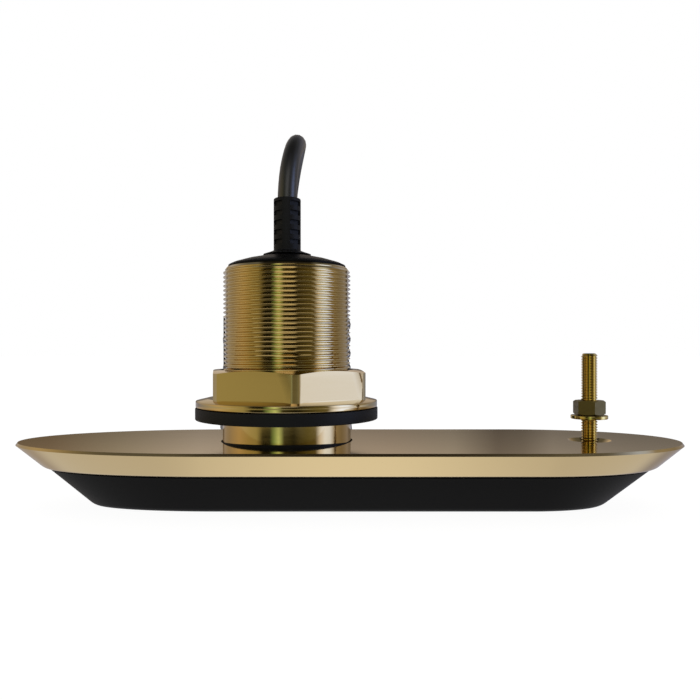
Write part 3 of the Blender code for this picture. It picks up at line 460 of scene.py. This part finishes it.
# %% Thread helper
CREST = 0.05  # half the flat on a crest or in a root, as a share of the pitch


def threaded(radius, pitch, depth, blank, centre, steps=96):
    """A bmesh: a threaded rod or sleeve. The blank is the profile that it was turned to before threading."""
    low = min(height for _, height, *_ in blank) - 0.1
    high = max(height for _, height, *_ in blank) + 0.1
    bm = bmesh.new()
    flat = CREST * pitch
    shape = ((radius, -flat), (radius, flat), (radius - depth, pitch / 2 - flat), (radius - depth, pitch / 2 + flat))
    turns = math.ceil((high - low) / pitch) + 3
    points = [
        bm.verts.new((out * MM, 0.0, (low + (row - 2) * pitch + up) * MM)) for row in range(turns) for out, up in shape
    ]
    line = [bm.edges.new(pair) for pair in zip(points, points[1:])]
    turn = {"cent": (0, 0, 0), "axis": (0, 0, 1), "angle": 2 * math.pi, "steps": steps}
    bmesh.ops.spin(bm, geom=points + line, dvec=(0, 0, pitch * MM / steps), **turn)
    bmesh.ops.remove_doubles(bm, verts=bm.verts, dist=0.001 * MM)
    for height, side in ((low, -1.0), (high, 1.0)):
        geometry = list(bm.verts) + list(bm.edges) + list(bm.faces)
        plane = {"plane_co": (0, 0, height * MM), "plane_no": (0, 0, side), "clear_outer": True}
        bmesh.ops.bisect_plane(bm, geom=geometry, **plane)
    bmesh.ops.holes_fill(bm, edges=[edge for edge in bm.edges if edge.is_boundary], sides=0)
    bmesh.ops.recalc_face_normals(bm, faces=bm.faces)
    bmesh.ops.translate(bm, vec=(centre[0] * MM, centre[1] * MM, 0.0), verts=bm.verts)
    return carved(bm, spun(blank, centre, 128), "INTERSECT")


# %% Threaded stem
STEM, STEM_TOP = 25.25, 94.2
STEM_PITCH, STEM_THREAD_DEPTH = 1.73, 1.1
STEM_CHAMFER, STEM_CHAMFER_DROP = 1.4, 2.0
SPARE = 0.1
blank = [(BORE, STEM_TOP), (STEM - STEM_CHAMFER, STEM_TOP), (STEM + SPARE, STEM_TOP - STEM_CHAMFER_DROP)]
blank += [(STEM + SPARE, THREAD_START), (BORE, THREAD_START)]
stem = threaded(STEM, STEM_PITCH, STEM_THREAD_DEPTH, blank, (STEM_X, 0.0))
finished("stem_thread", stem, thread_bronze_painted_highlight)

# %% [markdown]
# ## Hull nut and washer
# The nut is a hexagon with a round flange in one piece with it. A real one is turned from a hexagonal bar: the
# lathe takes the corners off at a slant. So a six-sided prism is kept only where it lies inside a turned blank,
# joined to a turned flange, and bored. A small bevel then breaks every edge.


# %% Nuts
def hexagon(across_flats, turn, low, high, centre):
    """A bmesh: a six-sided bar. A turn of 0 points a corner along X."""
    bm = bmesh.new()
    radius = across_flats / math.sqrt(3) * MM
    place = Matrix.Translation((centre[0] * MM, centre[1] * MM, (low + high) / 2 * MM))
    place = place @ Matrix.Rotation(math.radians(turn), 4, "Z")
    size = {"segments": 6, "radius1": radius, "radius2": radius, "depth": (high - low) * MM}
    bmesh.ops.create_cone(bm, cap_ends=True, cap_tris=False, matrix=place, **size)
    return bm


def edges_broken(obj, width):
    """Gives the piece a narrow bevel on each sharp edge."""
    bevel = obj.modifiers.new("Edges", "BEVEL")
    bevel.width = width * MM
    bevel.segments = 2
    bevel.limit_method = "ANGLE"
    bevel.angle_limit = math.radians(28)
    bevel.harden_normals = True


NUT_BASE, NUT_HEIGHT = 39.4, 14.6
NUT_TOP = NUT_BASE + NUT_HEIGHT
FLATS, CORNER, NUT_TURN = 58.0, 32.7, 9.7
BAR_START = 1.3
NUT_SLOPE, CONE_INSET = math.tan(math.radians(16)), 0.4
FLANGE, FLANGE_HEIGHT, FLANGE_SLOPE, FLANGE_RIM = 35.9, 3.4, 1.0, 4.4
FIT, BORE_MOUTH = 0.3, 2.3
around = (STEM_X, 0.0)
bar = hexagon(FLATS, NUT_TURN, NUT_BASE + BAR_START, NUT_TOP, around)
lathe = [(0.0, NUT_TOP + 1), (FLATS / 2 - 1 / NUT_SLOPE - CONE_INSET, NUT_TOP + 1)]
lathe += [(CORNER, NUT_TOP - (CORNER + CONE_INSET - FLATS / 2) * NUT_SLOPE), (CORNER, NUT_BASE), (0.0, NUT_BASE)]
nut = carved(bar, spun(lathe, around), "INTERSECT")
flange_profile = [(0.0, NUT_BASE + FLANGE_HEIGHT), (FLANGE - FLANGE_RIM, NUT_BASE + FLANGE_HEIGHT, 1.0)]
flange_profile += [(FLANGE, NUT_BASE + FLANGE_HEIGHT - FLANGE_SLOPE, 0.35), (FLANGE, NUT_BASE, 0.3)]
flange_profile += [(0.0, NUT_BASE)]
nut = carved(nut, spun(flange_profile, around, 160), "UNION")
nut_bore = [(0.0, NUT_TOP + 1), (STEM + BORE_MOUTH, NUT_TOP + 1), (STEM + FIT, NUT_TOP - 1)]
nut_bore += [(STEM + FIT, NUT_BASE - 1), (0.0, NUT_BASE - 1)]
nut = carved(nut, spun(nut_bore, around, 160))
hull_nut = finished("hull_nut_bevelled", nut, turned_bronze, ["hull_nut"])
edges_broken(hull_nut, 0.22)

WASHER, WASHER_LOW, WASHER_HEIGHT = 36.1, 34.5, 4.6
washer = [(NECK + FIT, WASHER_LOW + WASHER_HEIGHT), (WASHER, WASHER_LOW + WASHER_HEIGHT, 0.4)]
washer += [(WASHER, WASHER_LOW, 0.35), (NECK + FIT, WASHER_LOW)]
finished("hull_washer_moulded", spun(washer, around, 160), rubber, ["hull_washer"])

# %% [markdown]
# ## Seal round the neck, with a sheet of painted shade
# A rubber ring lies in a groove at the foot of the neck. A thin lip of the same black rubber stands above it, and
# that lip is painted shade: a black sheet that stands in for the dark band of shade at the foot of the neck. It stands
# up the neck at the front and at the back and runs down to the plate at the sides, as two slanted cuts leave it.

# %% Seal ring and painted shade
# The lip that these sizes draw above the ring is painted shade, a thin black sheet on the neck's foot.
SHADE_SHEET_THICKNESS, SHADE_SHEET_HEIGHT, SEAL_START, SHADE_SHEET_SLOPE = 0.4, 4.6, -0.5, 0.065
SEAL_PLAY = 0.08
inner, outer = NECK + SEAL_PLAY, GROOVE - SEAL_PLAY
shade_sheet_top, ring_top, ring_low = TOP + SHADE_SHEET_HEIGHT, TOP + SEAL_START, TOP - GROOVE_DEPTH + FIT
profile = [(inner, shade_sheet_top), (inner + SHADE_SHEET_THICKNESS, shade_sheet_top), (inner + SHADE_SHEET_THICKNESS, ring_top), (outer, ring_top)]
profile += [(outer, ring_low), (inner, ring_low)]
seal_and_shade_sheet = spun(profile, around, 192)
for side in (-1.0, 1.0):
    tool = bmesh.new()
    bmesh.ops.create_cube(tool, size=2 * GROOVE * MM)
    lift = (GROOVE + 0.01) * MM
    bmesh.ops.translate(tool, vec=(0.0, side * GROOVE * MM, lift), verts=tool.verts)
    turn = Matrix.Rotation(side * math.atan(SHADE_SHEET_SLOPE), 3, "X")
    bmesh.ops.rotate(tool, cent=(0, 0, 0), matrix=turn, verts=tool.verts)
    bmesh.ops.translate(tool, vec=(STEM_X * MM, 0.0, (TOP + SEAL_START) * MM), verts=tool.verts)
    seal_and_shade_sheet = carved(seal_and_shade_sheet, tool)
# One piece: the real seal ring in its groove, and the painted shade lip above it.
finished("stem_seal_and_painted_shade", seal_and_shade_sheet, rubber, ["stem_seal_ring"])

# %% [markdown]
# ## Acoustic window
# The underside is a block of urethane, through which sound passes into the water. It fills the casting from lip
# to lip and rounds over to a flat bottom. The same loop of points follows it down, and inside it is hollow for
# the carrier and the arrays.

# %% Acoustic window
BOTTOM_INSET = (30.4, 24.6, 31.3)
EDGE_RISE, EDGE_FLAT = 1.9, 2.4
WALL, SLANTED_WALL, CAVITY_LOW = 3.0, 3.6, 10.7
SPIGOT_TOP = CEILING - 1.8
spigot = [value + SHOULDER for value in lip[:3]]
cavity = [value + WALL for value in spigot]
rim_z = LIP_Z - FIT
bottom = Vector((*BOTTOM_INSET, 0.0))
edge_high = bottom.lerp(Vector((*lip[:3], rim_z)), EDGE_RISE / rim_z)
edge_flat = Vector((*(value + EDGE_FLAT for value in BOTTOM_INSET), 0.0))
share = 1 - WALL / rim_z
floor_inset = [a + (b - a) * share + SLANTED_WALL for a, b in zip(lip[:3], BOTTOM_INSET)]
levels = [boat(*floor_inset, WALL), boat(*cavity, CAVITY_LOW)]
levels += [boat(*cavity, SPIGOT_TOP), boat(*spigot, SPIGOT_TOP)]
levels += [boat(*spigot, rim_z + 0.1), boat(*lip[:3], rim_z)]
levels += arc_levels(edge_high, bottom, edge_flat, 8)
finished("acoustic_window_moulded", lofted(levels), urethane, ["acoustic_window"])

# %% [markdown]
# ## Stem cap and strain relief
# A domed cap closes the stem. The cable comes up through a sleeve with a small foot. Rows of slots on its four
# sides let it bend with the cable, and ribs between them carry the pull.

# %% Stem cap
CAP_BASE = STEM_TOP + 0.3
CAP_TOP = CAP_BASE + 4.8
CAP, CAP_HOLE, PLUG, PLUG_DEPTH = 23.3, 3.3, 19.2, 9.0
dome = [(CAP_HOLE, CAP_TOP), (9.6, CAP_TOP - 0.25, 2.5), (16.4, CAP_BASE + 3.1, 6.0), (21.4, CAP_BASE + 1.6, 1.5)]
dome += [(CAP, CAP_BASE + 0.7, 0.3), (CAP, CAP_BASE), (PLUG, CAP_BASE)]
dome += [(PLUG, CAP_BASE - PLUG_DEPTH), (CAP_HOLE, CAP_BASE - PLUG_DEPTH)]
finished("stem_cap_domed", spun(dome, around, 160), urethane, ["stem_cap"])

# %% Strain relief
SLEEVE, SLEEVE_HEIGHT, SLEEVE_BORE = 5.4, 20.8, 3.95
FOOT, FOOT_HEIGHT, FOOT_SLOPE, FOOT_DROP, FOOT_EDGE = 9.5, 1.7, 2.4, 0.7, 0.2
RELIEF_LOW = CAP_TOP + 0.3
FOOT_TOP = RELIEF_LOW + FOOT_HEIGHT
RELIEF_TOP = FOOT_TOP + SLEEVE_HEIGHT
SLOT_HEIGHT, SLOT_PITCH, SLOT_WIDTH, SLOTS, SLOT_FLOOR = 1.92, 3.8, 5.1, 5, 4.15
TOP_RIB, SLOT_REACH = 1.4, 6.0
profile = [(SLEEVE_BORE, RELIEF_TOP), (SLEEVE, RELIEF_TOP, 0.6), (SLEEVE, FOOT_TOP, 0.5)]
profile += [(FOOT - FOOT_SLOPE, FOOT_TOP - FOOT_DROP, 1.2), (FOOT, RELIEF_LOW + FOOT_EDGE)]
profile += [(FOOT, RELIEF_LOW), (SLEEVE_BORE, RELIEF_LOW)]
relief = spun(profile, around, 96)
for direction in (45.0, 135.0, 225.0, 315.0):
    slots = bmesh.new()
    for row in range(SLOTS):
        made = bmesh.ops.create_cube(slots, size=1.0)["verts"]
        bmesh.ops.scale(slots, vec=Vector((SLOT_REACH, SLOT_WIDTH, SLOT_HEIGHT)) * MM, verts=made)
        middle = RELIEF_TOP - TOP_RIB - SLOT_HEIGHT / 2 - row * SLOT_PITCH
        bmesh.ops.translate(slots, vec=Vector((SLOT_FLOOR + SLOT_REACH / 2, 0.0, middle)) * MM, verts=made)
    turn = Matrix.Rotation(math.radians(direction), 3, "Z")
    bmesh.ops.rotate(slots, cent=(0, 0, 0), matrix=turn, verts=slots.verts)
    bmesh.ops.translate(slots, vec=(STEM_X * MM, 0.0, 0.0), verts=slots.verts)
    relief = carved(relief, slots)
finished("strain_relief_moulded", relief, rubber, ["strain_relief"])

# %% [markdown]
# ## Stud, nut and washer
# The small stud passes through the hull beside the stem, so that the plate can't turn. It is threaded to its
# tip, and a nut and a washer hold it on the inside.

# %% Stud
STUD, STUD_TOP = 3.175, TOP + 34.65
STUD_PITCH, STUD_THREAD_DEPTH = 1.06, 0.55
STUD_CHAMFER, STUD_CHAMFER_DROP, STUD_FOOT = 0.9, 1.0, CEILING + 0.8
stud_around = (STUD_X, 0.0)
blank = [(0.0, STUD_TOP), (STUD - STUD_CHAMFER, STUD_TOP), (STUD + SPARE, STUD_TOP - STUD_CHAMFER_DROP)]
blank += [(STUD + SPARE, STUD_FOOT), (0.0, STUD_FOOT)]
stud = threaded(STUD, STUD_PITCH, STUD_THREAD_DEPTH, blank, stud_around, 48)
finished("stud_thread", stud, stud_brass, ["anti_rotation_stud"])

# %% Stud nut and washer
SMALL_BASE, SMALL_HEIGHT, SMALL_FLATS, SMALL_TURN = 35.95, 5.6, 11.0, 1.5
SMALL_TOP = SMALL_BASE + SMALL_HEIGHT
SMALL_SLOPE, SMALL_MOUTH = math.tan(math.radians(30)), 1.5
STUD_WASHER, STUD_WASHER_LOW, STUD_WASHER_TOP, STUD_WASHER_EDGE = 7.2, 34.25, 35.65, 0.25
corner = SMALL_FLATS / math.sqrt(3)
drop = (corner - SMALL_FLATS / 2) * SMALL_SLOPE
rise = 0.3
bar = hexagon(SMALL_FLATS, SMALL_TURN, SMALL_BASE, SMALL_TOP, stud_around)
lathe = [(0.0, SMALL_TOP + rise), (SMALL_FLATS / 2 - rise / SMALL_SLOPE, SMALL_TOP + rise)]
lathe += [(corner + 1, SMALL_TOP - drop - SMALL_SLOPE), (corner + 1, SMALL_BASE + drop + SMALL_SLOPE)]
lathe += [(SMALL_FLATS / 2 - rise / SMALL_SLOPE, SMALL_BASE - rise), (0.0, SMALL_BASE - rise)]
nut = carved(bar, spun(lathe, stud_around, 96), "INTERSECT")
hole = [(0.0, SMALL_TOP + 1), (STUD + SMALL_MOUTH, SMALL_TOP + 1), (STUD + FIT, SMALL_TOP - rise)]
hole += [(STUD + FIT, SMALL_BASE - 1), (0.0, SMALL_BASE - 1)]
nut = carved(nut, spun(hole, stud_around, 64))
stud_nut = finished("stud_nut_bevelled", nut, dull_brass, ["stud_nut"])
edges_broken(stud_nut, 0.12)
washer = [(STUD + FIT, STUD_WASHER_TOP), (STUD_WASHER, STUD_WASHER_TOP, STUD_WASHER_EDGE)]
washer += [(STUD_WASHER, STUD_WASHER_LOW, STUD_WASHER_EDGE), (STUD + FIT, STUD_WASHER_LOW)]
finished("stud_washer_turned", spun(washer, stud_around, 96), stud_brass, ["stud_washer"])

# %% [markdown]
# ## Cable
# Such a transducer comes with several metres of cable, and five and a half are drawn. The photograph shows only
# the first bend. The rest is folded into a hank behind the stem, which hides nearly all of it from the camera: two
# columns of ten turns, each turn two straight runs and two round folds. The cable arches over the stem, hangs down
# behind it and runs under the first fold. On the hank's left run each turn changes places: one moves sideways while
# its neighbour swings round it and climbs, so that no turn passes through another.

# %% Cable route
CABLE, PITCH = 7.7, 7.8
HANK_MIDDLE, HANK_TURN = Vector((-35.5, 125.7, 0.0)), math.radians(4.95)
RUN, SPACING, ARCH_PASSES, ROUTE_PASSES = 47.0, 4.0, 12, 3
OUTER, INNER, LOWEST = 30.7, 22.9, 5.1
ROWS = 10
SWING, HIGH_SWING, HIGH = 3.1, 1.3, 20.0
ARCH = [(-25, 0, 101), (-25, 0, 112), (-25, 0, 123), (-25.2, 1.5, 131.5), (-24.1, 6.5, 142.2)]
ARCH += [(-22.0, 15.4, 150.2), (-22.1, 31.5, 154.5), (-25.4, 47.3, 150.3), (-29, 58.8, 138.8), (-30.3, 62.9, 125.7)]
ARCH += [(-30.2, 62.8, 108), (-28.9, 62.2, 88), (-25.1, 62, 73), (-15.7, 62, 60.9), (-6.3, 62, 49.9)]
ARCH += [(-2.9, 62, 35.8), (-2.5, 64.9, 22.7), (-1.9, 73.1, 12.1), (-1.7, 82.5, 6.6), (-2.3, 93.0, 5.2)]


def ease(value):
    value = min(1.0, max(0.0, value))
    return value * value * (3 - 2 * value)


def on_hank(across, along, height):
    """A point given in the hank's own directions, in the object's frame."""
    return HANK_MIDDLE + Matrix.Rotation(HANK_TURN, 3, "Z") @ Vector((across, along, height))


def fold(radius, end, height, new_radius=None, new_height=None):
    """Half a turn round one end of the hank."""
    points = []
    for step in range(1, 20):
        angle = math.pi * step / 20
        share = ease(step / 18)
        reach = radius + (0.0 if new_radius is None else (new_radius - radius) * share)
        up = height + (0.0 if new_height is None else (new_height - height) * share)
        points.append(on_hank(end * reach * math.cos(angle), end * (RUN / 2 + reach * math.sin(angle)), up))
    return points


def evenly(points, spacing):
    """Points on the same line, that far apart."""
    done, left = [points[0]], spacing
    for first, last in zip(points, points[1:]):
        length = (last - first).length
        at = left
        while at <= length:
            done.append(first.lerp(last, at / length))
            at += spacing
        left = at - length
    return done + [points[-1]]


def relaxed(points, passes, fixed=4):
    """The line with each point drawn towards the middle of its neighbours. Its ends stay where they are."""
    start, end = points[:fixed], points[-fixed:]
    for _ in range(passes):
        moved = [(a + 2 * b + c) / 4 for a, b, c in zip(points, points[1:], points[2:])]
        points = start + moved[fixed - 1 : 1 - fixed] + end
    return points


def tightest(points):
    """The smallest bend radius along the line, and where it is."""
    best = (1e9, None)
    for a, b, c in zip(points, points[2:], points[4:]):
        area = (b - a).cross(c - a).length / 2
        if area > 1e-9:
            best = min(best, ((b - a).length * (c - b).length * (c - a).length / (4 * area), tuple(b)))
    return best


# Each place is one turn of the hank: the radius of its folds and its height.
places = []
for row in range(ROWS):
    order = (OUTER, INNER) if row % 2 == 0 else (INNER, OUTER)
    places += [(radius, LOWEST + PITCH * row) for radius in order]
places.append((INNER, LOWEST + PITCH * ROWS))
route = relaxed(evenly([Vector(point) for point in ARCH], SPACING), ARCH_PASSES)
for (radius, height), (new_radius, new_height) in zip(places, places[1:]):
    route += [on_hank(radius, RUN * (step / 10 - 0.5), height) for step in range(11)]
    route += fold(radius, 1, height)
    swing = 0.0 if new_radius != radius else -SWING
    if radius == new_radius == OUTER:
        swing = HIGH_SWING if height > HIGH else SWING
    for step in range(21):
        share = ease((step / 20 - 0.2) / 0.6)
        aside = swing * ease(step / 20 / 0.3) * ease((1 - step / 20) / 0.3)
        across = radius + (new_radius - radius) * share + aside
        route.append(on_hank(-across, RUN * (0.5 - step / 20), height + (new_height - height) * share))
    if (new_radius, new_height) != places[-1]:
        route += fold(new_radius, -1, new_height)

# %% [markdown]
# The last turn climbs over the front fold into the plug, which lies on the hank. The whole route is then relaxed:
# each point moves a little towards the middle of its neighbours, which spreads the bends as a stiff cable does.

# %% Cable mesh
PLUG_X, PLUG_Z, PLUG_FACE, PLUG_LENGTH = 26.8, 89.1, 13.0, 34.0
route += fold(INNER, -1, places[-1][1], PLUG_X, PLUG_Z)
route += [on_hank(PLUG_X, PLUG_FACE - PLUG_LENGTH - away, PLUG_Z) for away in (1.5, 0.3)]

route = relaxed(evenly(route, SPACING), ROUTE_PASSES)
radius, at = tightest(route)
print("tightest bend, mm:", round(radius, 1), "at", [round(value) for value in at])
length = sum((b - a).length for a, b in zip(route, route[1:]))
print("cable length, mm:", round(length))
cable_curve = bpy.data.curves.new("cable_wound", "CURVE")
cable_curve.dimensions = "3D"
spline = cable_curve.splines.new("POLY")
spline.points.add(len(route) - 1)
for point, place in zip(spline.points, route):
    point.co = (*(place * MM), 1.0)
cable_curve.bevel_depth = CABLE / 2 * MM
cable_curve.bevel_resolution = 5
cable_curve.use_fill_caps = True
cable_curve.materials.append(jacket.material)
spline.use_smooth = True
cable = bpy.data.objects.new("cable_wound", cable_curve)
bpy.context.scene.collection.objects.link(cable)
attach(cable, "root")
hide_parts("cable", "cable_hank", "cable_tail")

# %% [markdown]
# ## Finish for the rest of the CAD pieces
# What isn't replaced keeps its CAD shape: the plug, the ties, and everything inside. Each takes the finish of its
# material in the record.

# %% Finish the other pieces
nodes = frame["nodes"]
for name, node in nodes.items():
    finish = INSIDE[node.data.materials[0].name]
    node.data.materials[0] = finish.material
print("finished", len(nodes), "CAD pieces")

# %% The strain relief's top, in metres
RELIEF_TOP * MM

# %% [markdown]
# ## Studio
# Polished metal shows the room more than itself, so the studio matters as much as the bronze. The world gives each
# kind of ray its own answer. The camera sees white paper. Black pieces get a plain even light. Metal sees the
# studio: large cards and soft boxes that stand round the object, a pale table below, a dim ceiling that is darkest
# straight above, and the dark room behind the camera. Each card is a named stop on a ring of directions, so it is
# easily moved. What looks a little downwards meets the low shelf of cards instead, what looks level or up and away
# from the camera meets the back wall, and a soft box hangs overhead on the camera's side.

# %% World
world = bpy.data.worlds.new("studio")
bpy.context.scene.world = world
world.cycles.sampling_method = "NONE"
studio = Graph(world)
studio.tree.nodes.clear()
RING = [
    ("white wall behind", -180, (0.45, 0.44, 0.50)),
    ("warm card, left", -118, (0.45, 0.40, 0.35)),
    ("warm card, near", -88, (0.66, 0.54, 0.34)),
    ("warm card, shaded", -66, (0.50, 0.43, 0.21)),
    ("its front edge", -50, (0.42, 0.38, 0.18)),
    ("gap beside it", -39, (0.02, 0.018, 0.008)),
    ("gap's end", -25, (0.012, 0.012, 0.005)),
    ("green filter", -18, (0.26, 0.40, 0.15)),
    ("strip light", -10, (0.72, 0.92, 0.45)),
    ("strip's edge", -1, (0.05, 0.045, 0.014)),
    ("dark behind the camera", 17, (0.011, 0.010, 0.004)),
    ("dim wall", 27, (0.06, 0.05, 0.014)),
    ("grey card", 45, (0.13, 0.115, 0.039)),
    ("soft box's edge", 56, (0.16, 0.14, 0.06)),
    ("soft box", 65, (1.05, 1.15, 1.6)),
    ("soft box, middle", 75, (1.30, 1.65, 3.0)),
    ("soft box's far edge", 86, (1.15, 1.48, 2.7)),
    ("shade beside it", 98, (0.40, 0.36, 0.29)),
    ("far wall", 118, (0.29, 0.26, 0.22)),
    ("white wall behind, right", 165, (0.44, 0.44, 0.56)),
]
LOW_SHELF = [
    ("far end", -180, (0.62, 0.60, 0.62)),
    ("pale board, left", -140, (0.26, 0.26, 0.33)),
    ("pale board", -100, (0.48, 0.46, 0.40)),
    ("warm board", -70, (0.55, 0.51, 0.34)),
    ("its edge", -50, (0.42, 0.38, 0.19)),
    ("brown paper", -30, (0.28, 0.26, 0.13)),
    ("grey paper", -5, (0.30, 0.33, 0.25)),
    ("gap between papers", 14, (0.17, 0.16, 0.09)),
    ("grey paper, right", 27, (0.25, 0.26, 0.20)),
    ("shade", 42, (0.235, 0.22, 0.12)),
    ("soft box's edge", 56, (0.34, 0.33, 0.28)),
    ("soft box", 72, (0.97, 1.10, 1.62)),
    ("soft box, middle", 84, (1.03, 1.22, 1.98)),
    ("shade beside it", 106, (0.65, 0.69, 0.88)),
    ("far wall", 130, (0.29, 0.31, 0.38)),
]
BACK_WALL = [
    ("left end", -0.38, (0.21, 0.155, 0.10)),
    ("left part", -0.30, (0.30, 0.255, 0.19)),
    ("lit patch", -0.20, (0.41, 0.355, 0.30)),
    ("middle", 0.055, (0.34, 0.286, 0.236)),
    ("right part", 0.14, (0.305, 0.268, 0.223)),
    ("gap between two sheets", 0.197, (0.155, 0.13, 0.108)),
    ("second sheet's edge", 0.23, (0.18, 0.155, 0.13)),
    ("second sheet", 0.265, (0.27, 0.24, 0.21)),
    ("right end", 0.37, (0.235, 0.21, 0.185)),
]
toward = studio.node("TexCoord")
across = studio.node("SeparateXYZ", inputs={0: toward}, output=0)
ahead = studio.node("SeparateXYZ", inputs={0: toward}, output=1)
upward = studio.node("SeparateXYZ", inputs={0: toward}, output=2)
turn = studio.node("Math", {"operation": "ARCTAN2"}, {0: across, 1: -ahead})
around_share = turn / (2 * math.pi) + 0.5
ring, shelf = (
    studio.node("ValToRGB", {"stops": [((at + 180) / 360, colour) for _, at, colour in cards]}, {"Fac": around_share})
    for cards in (RING, LOW_SHELF)
)
# The low shelf is seen from about one to six degrees below level.
at_shelf = studio.ramp(upward, -0.108, -0.096) * studio.ramp(upward, -0.018, -0.030)
level = studio.blend(at_shelf, ring, shelf)
# The back wall is laid out from left to right, and gets brighter higher up.
stops = [(at + 0.5, colour) for _, at, colour in BACK_WALL]
back = studio.node("ValToRGB", {"stops": stops}, {"Fac": across + 0.5})
back_light = studio.ramp(upward, 0.08, 0.18, 0.45, 1.55)
shaded = studio.node("VectorMath", {"operation": "SCALE"}, {0: back, "Scale": back_light})
behind = studio.ramp(ahead, 0.75, 0.90)
dimmed = studio.blend(behind * studio.ramp(upward, -0.03, 0.05), level, shaded)
# The table lies below all that, and is dimmer at the sides.
table = studio.ramp(upward, -0.48, -0.66)
side = studio.node("Math", {"operation": "ABSOLUTE"}, {0: across})
table_colour = studio.blend(studio.ramp(side, 0.02, 0.34), (1.02, 1.03, 1.06, 1.0), (0.70, 0.70, 0.72, 1.0))
lower = studio.blend(table, dimmed, table_colour)
# Above are the ceiling and, on the camera's side, the soft box.
high_up = studio.ramp(upward, 0.45, 0.8)
roof = studio.blend(studio.ramp(upward, 0.86, 0.92), (0.13, 0.13, 0.125, 1.0), (0.02, 0.018, 0.015, 1.0))
roofed = studio.blend(high_up, lower, roof)
overhead = studio.ramp(upward, 0.22, 0.42) * studio.ramp(upward, 0.88, 0.80) * studio.ramp(side, 0.34, 0.2)
overhead = overhead * studio.ramp(ahead, 0.0, -0.2)
seen = studio.blend(overhead, roofed, (0.9, 0.87, 0.84, 1.0))
# Each kind of ray gets its answer: paper for the camera, plain light for black pieces, the studio for metal.
is_camera, is_glossy, is_passed = (studio.node("LightPath", output=index) for index in (0, 3, 6))
mirrored = studio.node("Math", {"operation": "MAXIMUM"}, {0: is_glossy, 1: is_passed})
plain = studio.blend(mirrored, (0.80, 0.80, 0.80, 1.0), seen)
shown = studio.blend(is_camera, plain, (1.0, 1.0, 1.0, 1.0))
background = studio.node("Background", inputs={"Color": shown, "Strength": 1.0})
studio.node("OutputWorld", inputs={"Surface": background})
bpy.context.scene.view_settings.view_transform = "Standard"
print("cards in the studio:", len(RING), "in the ring,", len(LOW_SHELF), "low,", len(BACK_WALL), "on the wall")

# %% [markdown]
# The table is white paper. What the camera sees of it shines a little by itself, so that it comes out white, and
# the rest of its white is lit, so that it keeps the object's soft shadow. Metal sees the table in the world above.

# %% Table
TABLE_SIZE, TABLE_DROP = 6.0, 0.0002
paper = Finish("white_paper", (0.8, 0.8, 0.8), 0.9, specular=0.0)
lit = paper.node("BsdfDiffuse", inputs={"Color": (0.1, 0.1, 0.1, 1.0)})
glow = paper.node("Emission", inputs={"Color": (0.95, 0.95, 0.95, 1.0), "Strength": 1.0})
both = paper.node("AddShader", inputs={0: lit, 1: glow})
seen_by_camera = paper.node("LightPath", output=0)
mix = paper.node("MixShader", inputs={0: seen_by_camera, 1: Wire(paper, paper.shader.outputs[0]), 2: both})
paper.put(paper.tree.nodes["Material Output"].inputs["Surface"], mix)
sheet = bmesh.new()
bmesh.ops.create_grid(sheet, x_segments=1, y_segments=1, size=TABLE_SIZE)
table_mesh = bpy.data.meshes.new("table")
sheet.to_mesh(table_mesh)
sheet.free()
table_mesh.materials.append(paper.material)
table_top = bpy.data.objects.new("table", table_mesh)
table_top.location = (0.0, 0.0, -TABLE_DROP)
bpy.context.scene.collection.objects.link(table_top)
table_top.visible_glossy = False
